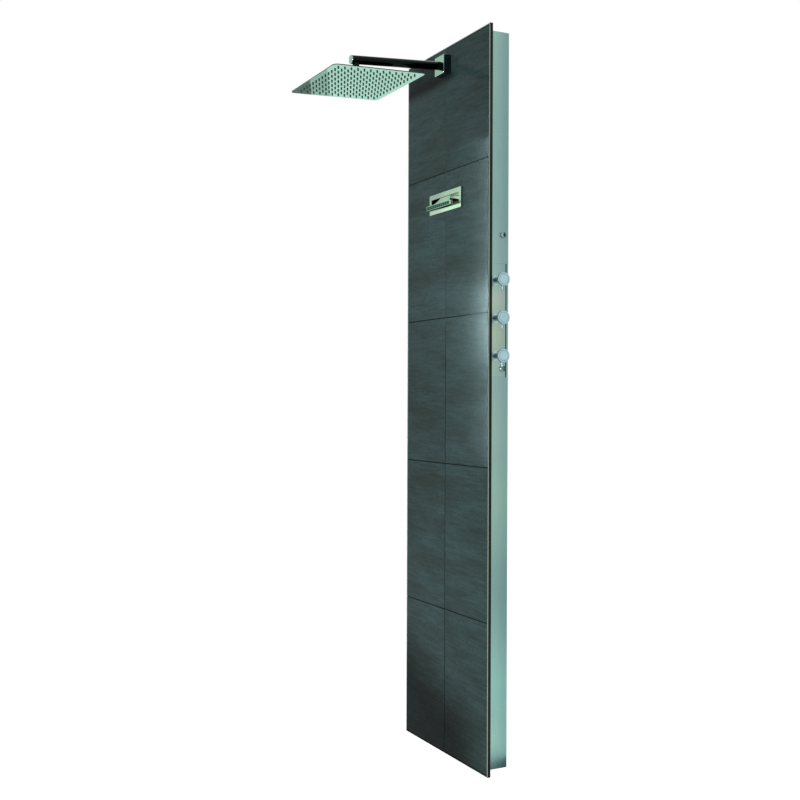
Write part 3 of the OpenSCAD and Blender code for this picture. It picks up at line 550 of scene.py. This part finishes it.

# %% Chromes, brass and copper
# The dark chrome is painted near black, a painted reflection of a dark room, with crisp
# lights; the bright one on turned parts is pale
dark_chrome = metal("dark_reflection_chrome", "101615", "131a19", 0.12, 60, tone=0.03, relief=0.02)
pale_chrome = metal("pale_chrome", "8fb3a0", "86a997", 0.07, 80, tone=0.03, relief=0.02)
# The flange's sides are painted dark grey, a painted reflection of a dark room
flange_chrome = metal("flange_side_chrome", "4f5c5e", "576466", 0.15, 80, tone=0.03, relief=0.02)
# Satin chrome was blasted before it was plated, so its lights are broad and soft
# The dials' edges are painted darker than their faces, as painted shade
dial_chrome = metal("dark_dial_edge_chrome", "5d787a", "55706f", 0.5, 90)
knob_chrome = metal("satin_knob_chrome", "a9c8cd", "9dbec6", 0.3, 700, cloud=60.0, tone=0.04,
                    relief=0.08)
sleeve_chrome = metal("sleeve_chrome", "bcd6d6", "aecaca", 0.34, 90, tone=0.03, relief=0.03)
pin_chrome = metal("satin_pin_chrome", "7c9a9c", "729093", 0.42, 300)
button_chrome = metal("button_chrome", "8fa8a5", "869f9c", 0.38, 90, tone=0.03, relief=0.02)
# Painted reflection: the button and the hose outlet darken on their side towards the wall, as a
# dark wall shows in them
shade_along(button_chrome, "Y", [(-23, LIT), (-18, (0.2, 0.2, 0.2))])
# Machined brass and drawn copper keep fine tool lines and a warm, uneven tone
brass = metal("machined_brass", "b08d4a", "c29f5c", 0.3, 400, cloud=20.0)
copper = metal("drawn_copper", "a8643c", "b87346", 0.3, 60, cloud=12.0)
print("chromes:", sum("chrome" in item.name for item in bpy.data.materials))

# %% [markdown]
# ## Plastics, rubber, grout and adhesive
#
# The flow strip, the cartridges and the ball seat are moulded plastic, the nozzles are
# silicone rubber, and grout and adhesive are mineral pastes. None is a metal, so they
# share a plain recipe: a colour that wanders a little, and a grain in the relief.

# %% Plain recipe
def paste(name, colour, other, roughness, grain, gloss=0.4, relief=0.3):
    """A matt or moulded stuff between two colours, with grain as the noise scale."""
    material, tree, shader, where = new_finish(name, Roughness=roughness,
                                               Specular_IOR_Level=gloss)
    grains = add(tree, "TexNoise", {"Vector": where, "Scale": grain, "Detail": 4.0})
    shift = add(tree, "MapRange", {0: grains, 1: 0.3, 2: 0.7})
    base = add(tree, "Mix", {0: shift, 6: linear(colour), 7: linear(other)}, data_type="RGBA")
    worn = add(tree, "MapRange", {0: grains, 3: roughness * 0.85, 4: min(roughness * 1.15, 1.0)})
    bump = add(tree, "Bump", {"Strength": relief, "Distance": 0.0003, "Height": grains})
    feed(shader, {"Base Color": base, "Roughness": worn, "Normal": bump})
    return material


def paler_joint(material, tone, aside_of, limit, low, high):
    """Fades a finish to another tone where |X| is LESS_THAN or GREATER_THAN the limit, from
    Z = low up to high."""
    tree, shader, before, split = opened(material)
    aside = add(tree, "Math", {0: split[0]}, operation="ABSOLUTE")
    near = add(tree, "Math", {0: aside, 1: limit * MM}, operation=aside_of)
    height = add(tree, "MapRange", {0: split[2], 1: low * MM, 2: high * MM})
    share = add(tree, "Math", {0: near, 1: height}, operation="MULTIPLY")
    mixed = add(tree, "Mix", {0: share, 6: before, 7: linear(tone)}, data_type="RGBA")
    feed(shader, {"Base Color": mixed})


print("plain recipe ready")

# %% Plain finishes
# Grout is sandy and drinks the light. Its upright joint is paler towards the top
grout_paste = paste("dark_grout", "0a1210", "131e1b", 0.9, 900.0, gloss=0.02)
paler_joint(grout_paste, "3c4b49", "LESS_THAN", 1.6, -720, -600)
# The joint between the tiles and the tray's rim is painted as pale as the rim's front, which
# widens the rim's light line
paler_joint(grout_paste, "74877f", "GREATER_THAN", 251.5, -1960, -1955)
adhesive = paste("tile_adhesive", "7e7a72", "8f8b82", 0.95, 300.0, gloss=0.2)
# Moulded plastic has a fine even grain, and its sunk cells are painted near black as shade
strip_plastic = paste("strip_plastic", "558a7c", "649a8b", 0.5, 160.0, gloss=0.03)
cell_plastic = paste("sunk_cell_plastic", "0c1512", "131f1b", 0.7, 160.0, gloss=0.03)
cartridge_plastic = paste("cartridge_plastic", "cfcfc6", "dcdcd4", 0.45, 90.0)
# The spout's underside is painted dark brown as painted shade, and silicone rubber is smooth and
# dull
underside = paste("shaded_underside", "1f1a12", "2a2418", 0.8, 160.0, gloss=0.02)
nozzle_rubber = paste("nozzle_rubber", "1f322c", "293f37", 0.5, 500.0)
print("finishes:", sum("paper" not in item.name for item in bpy.data.materials))

# %% [markdown]
# ## Slate-look porcelain
#
# The tiles are unglazed porcelain, pressed from powder and printed to look like slate:
# dark grey-green, with fine streaks that run across the tile and a soft sheen. A picture
# could carry that, but noise that is stretched sideways gives it at any scale. The
# streaks are 2 to 8 mm high and 20 to 100 mm long, the clouds about 80 by 300 mm, and
# each tile starts at its own place in the pattern, as tiles out of different boxes do.

# %% Slate finish
TILE_JUMP = (3.71, 0.0, 1.93)


def tile_number(tree, where, first_joint, pitch):
    """Each tile's own vector: 0 or 1 for its side, and its course counted from a joint."""
    split = add(tree, "SeparateXYZ", {0: where}).outputs
    height = add(tree, "Math", {0: split[2], 1: -first_joint}, operation="ADD")
    course = add(tree, "Math", {0: height, 1: pitch}, operation="DIVIDE")
    course = add(tree, "Math", {0: course}, operation="FLOOR")
    side = add(tree, "Math", {0: split[0], 1: 0.0}, operation="GREATER_THAN")
    return add(tree, "CombineXYZ", {0: side, 1: 0.0, 2: course})


def slate_finish(first_joint, pitch):
    """Slate for tiles whose joints lie at first_joint plus whole pitches of height."""
    material, tree, shader, where = new_finish("slate_porcelain", Roughness=0.1,
                                               Specular_IOR_Level=0.02)
    tile = tile_number(tree, where, first_joint, pitch)
    jump = add(tree, "VectorMath", {0: tile, 1: TILE_JUMP}, operation="MULTIPLY")
    place = add(tree, "VectorMath", {0: where, 1: jump}, operation="ADD")

    # The streaks climb a little to the right and wander by a few millimetres
    drift = add(tree, "TexNoise", {"Vector": place, "Scale": 14.0, "Detail": 3.0})
    drift = add(tree, "VectorMath", {0: drift.outputs["Color"], 1: (0.5, 0.5, 0.5)},
                operation="SUBTRACT")
    drift = add(tree, "VectorMath", {0: drift, 1: (0.02, 0.0, 0.012)}, operation="MULTIPLY")
    bent = add(tree, "VectorMath", {0: place, 1: drift}, operation="ADD")
    bent = add(tree, "Mapping", {"Vector": bent, "Rotation": (0, math.radians(-2), 0)})

    cloud = add(tree, "Mapping", {"Vector": bent, "Scale": (3, 1, 12)})
    cloud = add(tree, "TexNoise", {"Vector": cloud, "Scale": 1.0, "Detail": 5.0,
                                   "Roughness": 0.6})
    streak = add(tree, "Mapping", {"Vector": bent, "Scale": (10, 1, 120)})
    streak = add(tree, "TexNoise", {"Vector": streak, "Scale": 1.0, "Detail": 6.0,
                                    "Distortion": 0.5, "Roughness": 0.72})
    grain = add(tree, "TexNoise", {"Vector": place, "Scale": 260.0, "Detail": 3.0,
                                   "Roughness": 0.7})

    # Clouds give the colour. Streaks, speckles and the tile's batch make it darker or paler
    base = add(tree, "ValToRGB", {0: cloud})
    set_stops(base.color_ramp, [(0.32, linear("2d3935")), (0.5, linear("324342")),
                                (0.68, linear("384c4d"))])
    veins = add(tree, "MapRange", {0: streak, 1: 0.34, 2: 0.6, 3: 0.78, 4: 1.12})
    speckle = add(tree, "MapRange", {0: grain, 1: 0.3, 2: 0.7, 3: 0.78, 4: 1.22})
    batch = add(tree, "TexWhiteNoise", {0: tile}, noise_dimensions="3D")
    batch = add(tree, "MapRange", {0: batch, 3: 0.85, 4: 1.12})
    for factor in (veins, speckle, batch):
        base = add(tree, "Mix", {0: 1.0, 6: base, 7: factor}, data_type="RGBA",
                   blend_type="MULTIPLY")

    worn = add(tree, "MapRange", {0: streak, 1: 0.3, 2: 0.7, 3: 0.12, 4: 0.11})
    ridge = add(tree, "Math", {0: streak, 1: grain}, operation="ADD")
    relief = add(tree, "Bump", {"Strength": 0.1, "Distance": 0.0004, "Height": ridge})
    feed(shader, {"Base Color": base, "Roughness": worn, "Normal": relief})
    return material


tile_names = [name for name in nodes if name.startswith(("tile_left", "tile_right"))]
tops = sorted({round(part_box(n)[1].z, 4) for n in tile_names})
lows = sorted({round(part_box(n)[0].z, 4) for n in tile_names})
first_joint = (tops[0] + lows[1]) / 2
tile_pitch = (tops[1] + lows[2]) / 2 - first_joint
slate = slate_finish(first_joint, tile_pitch)
print("courses:", len(tops), "first joint", round(first_joint, 4), "pitch",
      round(tile_pitch, 4))

# %% [markdown]
# ## Casing
#
# The casing is a tray of thin sheet: four walls folded back from the front, each with a
# lip turned in at the wall. A box would show knife edges. Real folds are round, and the
# light that runs along them tells that this is sheet. One profile, wall, fold and lip, is
# carried round the rectangle, and a Solidify modifier then gives it the sheet's thickness.
# The opening for the control plate and a hole for the holder's stem are left out of it.

# %% Casing walls
PANEL_HALF_H, CASING_HALF_H, CASING_HALF_W = 1090, 1074, 241.5
SHEET = 1.5
wall_profile = eased([(0, 64), (0, 61.2), (0, 24.7), (0, 15.3), (0, 7), (0, 0), (-15, 0)],
                     [0, 0, 0, 0, 2.6])
casing_loops = framed(CASING_HALF_W, CASING_HALF_H, 1.6, wall_profile)
# Each opening's lowest and highest height, and its nearest and farthest from the wall
openings = [(1157.8, 1488.2, 7.5, 61.2), (1567.3, 1576.7, 15.3, 24.7)]
# Grid lines at those heights, so that whole quads can be left out
lines = np.array([(CASING_HALF_W, height - PANEL_HALF_H) for low, high, _, _ in openings
                  for height in (low, high)])
extra = stacked([(lines + [out, 0], depth) for out, depth in wall_profile])
casing_loops = np.concatenate([casing_loops, extra], axis=1)


def outside_openings(middle):
    """True for quads that lie in none of the openings of the right-hand wall."""
    x, y, depth = middle.T
    inside = [(x > CASING_HALF_W - SHEET) & (y > low - PANEL_HALF_H)
              & (y < high - PANEL_HALF_H) & (depth > near) & (depth < far)
              for low, high, near, far in openings]
    return ~np.any(inside, axis=0)


# The frame's Y axis points up the column, from the panel's middle
column_frame = to_room(PANEL_HALF_H)
# The sheet's cut edges take the near-black tray steel as painted shade
make_piece("casing_wall", [patch(casing_loops, keep=outside_openings)],
           [casing_steel, tray_steel], replaces=("casing_sides", "casing_ends", "rear_lips"),
           place=column_frame, wall=SHEET)

# %% [markdown]
# ## Tray rim
#
# The tiles lie in a shallow tray whose rim is folded double, so its edge is 3 mm wide.
# The fold was ground, which leaves it bright, while the rest of the tray is painted near
# black, a painted reflection of a dark room. From the photograph's side the right-hand edge
# shows as a thin light line, and the foot is dark.

# %% Tray rim
FACE, TRAY_HALF_W, FOLD = 75, 257.5, 3
rim_profile = eased([(-1.8, FACE), (0, FACE), (0, 65.5), (-FOLD, 65.5), (-FOLD, FACE),
                     (-1.8, FACE)], [0.8, 0.4, 0.2, 0.3])


def rim_kind(middle):
    """0 for the sides and foot, painted near black as a painted reflection, 1 for the satin
    front.
    """
    front = (middle[:, 2] > FACE - 0.1) & (middle[:, 1] > FOLD + 0.1 - PANEL_HALF_H)
    return np.where(front, 1, 0)


tray_rim = framed(TRAY_HALF_W, PANEL_HALF_H, 1.2, rim_profile)
make_piece("tray_rim", [patch(tray_rim, kind=rim_kind)], [tray_steel, rim_steel],
           replaces=("tray_sides", "tray_ends"), place=column_frame)

# %% [markdown]
# ## Arm and flange
#
# The arm is a chromed tube that slopes down by about four degrees. Chrome shows little of
# its own colour, only its surroundings, which were dark beside the arm. The photograph
# has it nearly black with one long light, so its chrome is painted near black as a painted
# reflection of those surroundings. The tube, its end cap and the stem under it are
# turned profiles, and the flange goes from a round hole to a square with soft edges.

# %% Arm
arm_root = Vector((0, -FACE, 2120.5 - UPPER_RAIL))
droop = math.radians(4.3)
arm_out = Vector((0, -math.cos(droop), -math.sin(droop)))
arm_down = Vector((0, math.sin(droop), -math.cos(droop)))
arm_frame = facing(arm_out, (1, 0, 0), arm_root)
tube = eased([(11.5, -25), (13, -25), (13, 323.7), (12.7, 324), (11.5, 324), (11.5, -25)],
             [0.3, 0, 0, 0.2])
make_piece("arm_tube", [patch(turned(tube, 96))], [dark_chrome], replaces=("shower_arm",),
           place=arm_frame)
cap = eased([(0, 320.5), (11.4, 320.5), (11.4, 323.9), (13, 324.1), (13, 326), (0, 326)],
            [0.3, 0, 0, 0.9])
make_piece("arm_cap", [patch(turned(cap, 96))], [pale_chrome], replaces=("arm_end_cap",),
           place=arm_frame)

# %% Flange
FLANGE_HALF, FLANGE_FRONT = 28.5, 101
outer = rounded_loop(FLANGE_HALF, FLANGE_HALF, 1.4)
outline = eased([(22, FLANGE_FRONT), (FLANGE_HALF, FLANGE_FRONT), (FLANGE_HALF, FACE)], [0.9])
flange_rows = [(rounded_loop(half, half, 1.4 - (FLANGE_HALF - half) * 0.06), depth)
               for half, depth in outline]
flange_rows += [(rounded_loop(26.5, 26.5, 0.6), depth) for depth in (FACE, 99)]
flange_rows += [(round_loop(radius, outer), depth)
                for radius, depth in [(13.3, 99), (13.3, FLANGE_FRONT), (15, FLANGE_FRONT)]]
# Front pale, sides painted dark as a painted reflection of a dark room
flange = patch(stacked(flange_rows), close_rows=True, kind=above(FLANGE_FRONT - 0.45))
make_piece("flange", [flange], [flange_chrome, pale_chrome], replaces=("arm_flange",),
           place=to_room(2119.52))

# %% [markdown]
# ## Ball joint
#
# The head hangs on a ball at the end of a short stem. A knurled nut holds a plastic seat
# round the ball, so the head can nod, sway and spin. Knurling keeps wet fingers from
# slipping. It is a fine ripple in the nut's radius, which fades out towards both rims.

# %% Stem
BALL_RADIUS, BALL_HEIGHT = 11, 41.5
stem_frame = facing(arm_down, (1, 0, 0), arm_root + arm_out * 309.6)
turn = np.linspace(np.radians(33), np.pi, 16)
ball = np.column_stack([BALL_RADIUS * np.sin(turn), BALL_HEIGHT - BALL_RADIUS * np.cos(turn)])
stem = np.concatenate([eased([(0, 9), (10, 9), (10, 26.5), (6, 26.5), (6, 31)],
                             [0.3, 1.2, 0.6]), ball])
make_piece("ball_joint_stem", [patch(turned(stem, 64))], [dark_chrome], replaces=("ball_stem",),
           place=stem_frame)

# %% Swivel nut
BALL = Vector((0, -380.617, 105.903))
SOCKET_RADIUS, NUT_RADIUS, KNURLS, KNURL_DEPTH = 13.2, 16, 48, 0.022
tilt = Matrix.Rotation(math.radians(3.3), 4, "X") @ Matrix.Rotation(math.radians(-1.5), 4, "Y")
nut_frame = tilt.copy()
nut_frame.translation = BALL * MM
turn = np.linspace(np.arccos(9 / SOCKET_RADIUS), np.pi - 0.9, 12)
socket = SOCKET_RADIUS * np.column_stack([np.sin(turn), np.cos(turn)])
outside = eased([(10.4, -9), (10.4, -16), (NUT_RADIUS, -16), (NUT_RADIUS, 9), (10, 9)],
                [0.4, 1.0, 1.0])
nut = turned(np.concatenate([outside[:-1], socket, outside[:1]]), 288)
x, y, height = nut[..., :1], nut[..., 1:2], nut[..., 2:]
fade = np.clip(1 - np.abs((height + 3.5) / 10.5) ** 8, 0, 1)
on_wall = np.hypot(x, y) > NUT_RADIUS - 0.1
ripple = 0.5 - 0.5 * np.cos(KNURLS * np.arctan2(y, x))
nut[..., :2] *= 1 - KNURL_DEPTH * on_wall * fade * ripple
make_piece("knurled_nut", [patch(nut)], [dark_chrome], body="nut", replaces=("swivel_nut",),
           place=nut_frame)

# %% [markdown]
# ## Rain head
#
# The head is two thin steel skins joined at a 2.6 mm edge. The lower one is polished flat,
# so it mirrors its nozzles and each looks twice as long. The upper one rises in four
# flat slopes to the middle. One stack of rounded squares makes both, from the middle of
# the face out to the edge and back up to the boss. Nozzles are small turned cones of
# silicone, repeated, so each has few faces.

# %% Head shell
HEAD_HALF, FACE_BELOW_BALL = 150, 28.4
head_frame = tilt @ Matrix.Rotation(math.radians(3), 4, "Z")
head_frame.translation = (BALL * MM
                          + head_frame.to_3x3() @ Vector((0, 0, -FACE_BELOW_BALL * MM)))
head_profile = eased([(2, 0), (HEAD_HALF, 0), (HEAD_HALF, 2.6), (54, 9), (10.2, 9)],
                     [0.8, 1.0, 9])
head_rows = [(rounded_loop(half, half, max(14 - (HEAD_HALF - half) * 0.09, 0.5)), height)
             for half, height in head_profile]
like = head_rows[0][0]
boss = eased([(12, 9), (10, 9), (10, 16.4), (0, 16.4)], [0.8, 0.5])[1:]
head_rows += [(round_loop(radius, like), height) for radius, height in boss]
head_rows.insert(0, (like * 0, 0))
# Face polished, edge and top in the chrome painted near black as a painted reflection
make_piece("rain_head_shell", [patch(stacked(head_rows), kind=above(0.3))],
           [head_steel, dark_chrome], body="rain_head", crease=24,
           replaces=("head_top", "head_face"), place=head_frame)

# %% Nozzles
NOZZLE_PITCH, NOZZLE_ROWS = 20.8, 13
cone = turned([(3.0, 0.02), (2.9, -0.3), (2.6, -0.5), (2.2, -3.9), (1.9, -4.2),
               (0.8, -4.2), (0.7, -3.2), (0, -3.2)], 12)
steps = (np.arange(NOZZLE_ROWS) - (NOZZLE_ROWS - 1) / 2) * NOZZLE_PITCH
grid_x, grid_y = (part.ravel() for part in np.meshgrid(steps, steps))
cones = [patch(cone + [x, y, 0]) for x, y in zip(grid_x, grid_y)]
make_piece("spray_nozzles", cones, [nozzle_rubber], body="rain_head", crease=50,
           replaces=("nozzle_mat",), place=head_frame)

# %% [markdown]
# ## Cascade
#
# A polished plate frames a slot in the tiles. Out of the slot comes a flat duct that
# widens like a fan and falls to a broad lip, where water pours as a sheet. The plate is
# one closed loop of rounded rectangles, front, slot wall and back. The spout is a stack
# of upright sections from the duct to the lip.

# %% Cascade plate
CASCADE_HEIGHT, PLATE_FRONT = 1703, 79.5
SLOT_HALF_W, SLOT_HALF_H, SLOT_Y = 86.5, 16.5, -0.5
plate_rows = [(rounded_loop(99 + out, 31 + out, 1.0), depth)
              for out, depth in eased([(0, FACE), (0, PLATE_FRONT), (-9, PLATE_FRONT)], [0.5])]
plate_rows += [(rounded_loop(SLOT_HALF_W + out, SLOT_HALF_H + out, 0.8) + [0, SLOT_Y], depth)
               for out, depth in eased([(3, PLATE_FRONT), (0, PLATE_FRONT), (0, FACE)], [0.4])]


def plate_kind(middle):
    """0 for the polished front, 1 for the outer edges, painted near black as shade, 2 for the
    slot's wall.
    """
    inner = ((np.abs(middle[:, 0]) < SLOT_HALF_W + 0.5)
             & (np.abs(middle[:, 1] - SLOT_Y) < SLOT_HALF_H + 0.5))
    return np.where(middle[:, 2] > PLATE_FRONT - 0.3, 0, np.where(inner, 2, 1))


plate_frame = to_room(CASCADE_HEIGHT)
make_piece("cascade_frame", [patch(stacked(plate_rows), close_rows=True, kind=plate_kind)],
           [plate_steel, dark_chrome, recess_steel], replaces=("cascade_plate",),
           place=plate_frame)

# %% Spout
LIP_TOP, LIP_FOOT, LIP_HALF_W, LIP_FRONT = 1695, 1681, 75.75, 104.5
MOUTH_HALF_W, MOUTH_HALF_H, MOUTH_Y = 73.1, 5.4, -15


def flat_section(half_w, top, foot, depth, radius=1.6):
    """An upright rounded rectangle of the spout, as points of (x, height, depth)."""
    top, foot = top - CASCADE_HEIGHT, foot - CASCADE_HEIGHT
    half_h = (top - foot) / 2
    loop = rounded_loop(half_w, half_h, min(radius, half_h * 0.98), steps=4)
    return np.column_stack([loop + [0, (top + foot) / 2], np.full(len(loop), depth)])


share = np.linspace(0, 1, 13)[:, None]
duct = np.array([31.5, 1718, 1708, 78.8])
lip = np.array([LIP_HALF_W, LIP_TOP, LIP_FOOT, 94.5])
fan = duct + (lip - duct) * np.hstack([share ** 3, share, share, share])
stages = [(31.5, 1718, 1708, 40.5), *fan, (LIP_HALF_W, LIP_TOP, LIP_FOOT, 96.0)]
rows = [flat_section(*stage) for stage in stages]
# The lip's edge is rounded, and its mouth goes back inwards
rows += [flat_section(LIP_HALF_W - inset, LIP_TOP, LIP_FOOT, LIP_FRONT - back)
         for back, inset in [(1.5, 0.3), (0.6, 1.0), (0.1, 2.2), (0, 3.4)]]
rows += [flat_section(MOUTH_HALF_W - inset, 1693.4, 1682.6, depth, radius=0.8)
         for depth, inset in [(104.2, 0), (103.9, 0.4), (99, 0.5)]]
rows = [rows[0] * 0 + [0, 10, 40.5], *rows, rows[-1] * 0 + [0, MOUTH_Y, 99.0]]


def spout_kind(middle):
    """0 for the polished fan, 1 for the dark mouth, 2 for the shaded underside."""
    x, y, depth = middle.T
    low = np.interp(depth, [78.8, 94.5], [5, -22])
    mouth = (depth > 98) & (np.abs(x) < MOUTH_HALF_W + 0.1) & (
        np.abs(y - MOUTH_Y) < MOUTH_HALF_H + 0.1)
    return np.where(mouth, 1, np.where(y < low + 0.3, 2, 0))


make_piece("cascade_chute", [patch(np.stack(rows), kind=spout_kind)],
           [plate_steel, strip_plastic, underside], replaces=("cascade_spout",),
           place=plate_frame)

# %% Stream former
CELLS, CELL_DEPTH, FORMER_FRONT, FORMER_BACK = 12, 2.6, 103, 99.5
across, upward = np.meshgrid(np.linspace(-MOUTH_HALF_W, MOUTH_HALF_W, CELLS * 10 + 1),
                             np.linspace(-MOUTH_HALF_H, MOUTH_HALF_H, 21), indexing="ij")
# Twelve cells in each of two rows, sunk with sloping walls
cell = np.maximum(np.abs(across / (2 * MOUTH_HALF_W / CELLS) % 1 - 0.5) / 0.36,
                  np.abs(upward / MOUTH_HALF_H % 1 - 0.5) / 0.3)
sunk = CELL_DEPTH * np.clip(1.4 - cell, 0, 0.4) / 0.4
front = np.stack([across, upward + MOUTH_Y, FORMER_FRONT - sunk], axis=-1)
front = np.pad(front, [(1, 1), (1, 1), (0, 0)], mode="edge")
back = front.copy()
back[..., 2] = FORMER_BACK
front[[0, -1], :, 2] = front[:, [0, -1], 2] = FORMER_BACK
# The sunk cells are painted dark as shade
former = [patch(front, close_columns=False, kind=above(FORMER_FRONT - 1.2, 0, 1)),
          patch(back, close_columns=False)]
make_piece("stream_former", former, [strip_plastic, cell_plastic], replaces=("flow_strip",),
           crease=50, place=plate_frame)

# %% [markdown]
# ## Side controls
#
# Each knob is a thin round dial on a hub, with a pin in the hub as a small lever. Behind
# it a chromed sleeve screws into the valve. All are turned parts, so one profile each is
# enough, with a shallow ring cut into the dial's face. The hose outlet carries a
# three-eighths pipe thread, whose ridge climbs by one pitch in every turn.

# %% Knobs
VALVE_Y, PIN_X, DIAL_FRONT = -46, 282, 290.5
knob_heights = {"hot": 1438, "cold": 1328, "diverter": 1218}
dial = eased([(0, 272), (10, 272), (10, 285.5), (20, 285.5), (20, DIAL_FRONT),
              (15.4, DIAL_FRONT), (15.1, 290.2), (14.6, 290.2), (14.3, DIAL_FRONT),
              (0, DIAL_FRONT)], [0.6, 0.8, 1.2, 1.2, 0, 0, 0, 0])
pin = [(0, 5), (3, 5), (3, 28), (3, 31.1), (2.75, 32.3), (2.0, 33.1), (1.0, 33.45), (0, 33.5)]
for name, height in knob_heights.items():
    hanging = facing((0, 0, -1), (1, 0, 0), (PIN_X, VALVE_Y, height - UPPER_RAIL))
    # Face satin, edge and hub painted darker as shade
    make_piece(f"dial_{name}", [patch(turned(dial, 72), kind=above(DIAL_FRONT - 0.05, 0, 1))],
               [knob_chrome, dial_chrome], body=f"{name}_knob", replaces=(f"knob_{name}",),
               place=to_right(VALVE_Y, height))
    make_piece(f"lever_{name}", [patch(turned(pin, 32))], [pin_chrome], body=f"{name}_knob",
               replaces=(f"lever_pin_{name}",), place=hanging)

# %% Sleeves and holder
sleeve = eased([(5, 238), (9.8, 238), (9.8, 241.6), (13, 241.6), (13, 244), (10, 244),
                (10, 271.7), (5, 271.7), (5, 238)], [0, 0, 0.2, 0.8, 0.5, 0.6, 0.3])
# Three sleeves share one piece, so their profile is turned about X and set at each valve
ring = turned(sleeve, 64)[..., [2, 0, 1]]
sleeves = [patch(ring + [0, VALVE_Y, height - UPPER_RAIL]) for height in knob_heights.values()]
make_piece("chrome_sleeves", sleeves, [sleeve_chrome], replaces=("valve_sleeves",))
STUB_Y = -20
button = eased([(0, 230.5), (4.25, 230.5), (4.25, 241.6), (8.5, 241.6), (8.5, 247.5),
                (2.6, 247.5), (2.4, 243.2), (0, 243.2)], [0.2, 0, 0.2, 2.2, 0.3, 0.2])
make_piece("holder_button", [patch(turned(button, 64))], [button_chrome],
           replaces=("holder_stub",), place=to_right(STUB_Y, 1572))

# %% Hose outlet
PIPE_PITCH, PIPE_RADIUS, THREAD_DEPTH, STUB_END = 1.337, 8.33, 0.4, 247.5
turn = np.linspace(0, 2 * np.pi, 48, endpoint=False)
square = 10 / (np.abs(np.cos(turn)) ** 14 + np.abs(np.sin(turn)) ** 14) ** (1 / 14)
climb = np.linspace(241.6, 247.2, 46)
phase = 2 * np.pi * climb[:, None] / PIPE_PITCH - turn
ridge = PIPE_RADIUS - THREAD_DEPTH / 2 * (1 - np.cos(phase))
rings = [(0, 223.6), (square, 223.6), (square, 238), (8.83, 238), (8.83, 241.5),
         (8.1, 241.5), *zip(ridge, climb), (8, STUB_END), (5.9, STUB_END), (5.7, 246),
         (0, 245.6)]
circle = np.column_stack([np.cos(turn), np.sin(turn)])
nose = stacked([(np.broadcast_to(radius, turn.shape)[:, None] * circle, depth)
                for radius, depth in rings])


def nose_kind(middle):
    """0 for the turned outside, 1 for the plug in the bore, painted dark as shade."""
    plug = (middle[:, 2] > 244) & (np.hypot(middle[:, 0], middle[:, 1]) < 5.8)
    return np.where(plug, 1, 0)


make_piece("hose_nose", [patch(nose, kind=nose_kind)], [button_chrome, dial_chrome],
           replaces=("hose_outlet",), crease=40, place=to_right(STUB_Y, 1182))

# %% [markdown]
# ## Finishes for the CAD nodes
#
# Plates, rails, pipes and blocks already have their real shape in the CAD model. They
# keep it and only get their finish, one name at a time, so that none is forgotten.

# %% Finish the nodes
node_finishes = {
    slate: tile_names,
    grout_paste: ["grout"],
    adhesive: ["tile_bed"],
    casing_steel: ["casing_front"],
    control_steel: ["control_plate"],
    # The valve bracket, seen through the seam, takes the near-black steel as painted shade
    tray_steel: ["tray_back", "valve_bracket"],
    zinc_steel: ["tray_rivets", "wall_rails", "hangers", "inlet_bar"],
    brass: ["valve_bodies", "manifold", "inlets", "arm_socket"],
    copper: ["hot_pipe", "cold_pipe", "arm_pipe", "cascade_pipe", "hand_shower_pipe"],
    cartridge_plastic: ["cartridges", "ball_seat"],
    recess_steel: ["cascade_body"],
    sleeve_chrome: ["spindle_hot", "spindle_cold", "spindle_diverter"],
}
for finish, names in node_finishes.items():
    for name in names:
        mesh = bpy.data.objects[name].data
        mesh.materials.clear()
        mesh.materials.append(finish)
print("CAD nodes with a finish:", sum(map(len, node_finishes.values())))
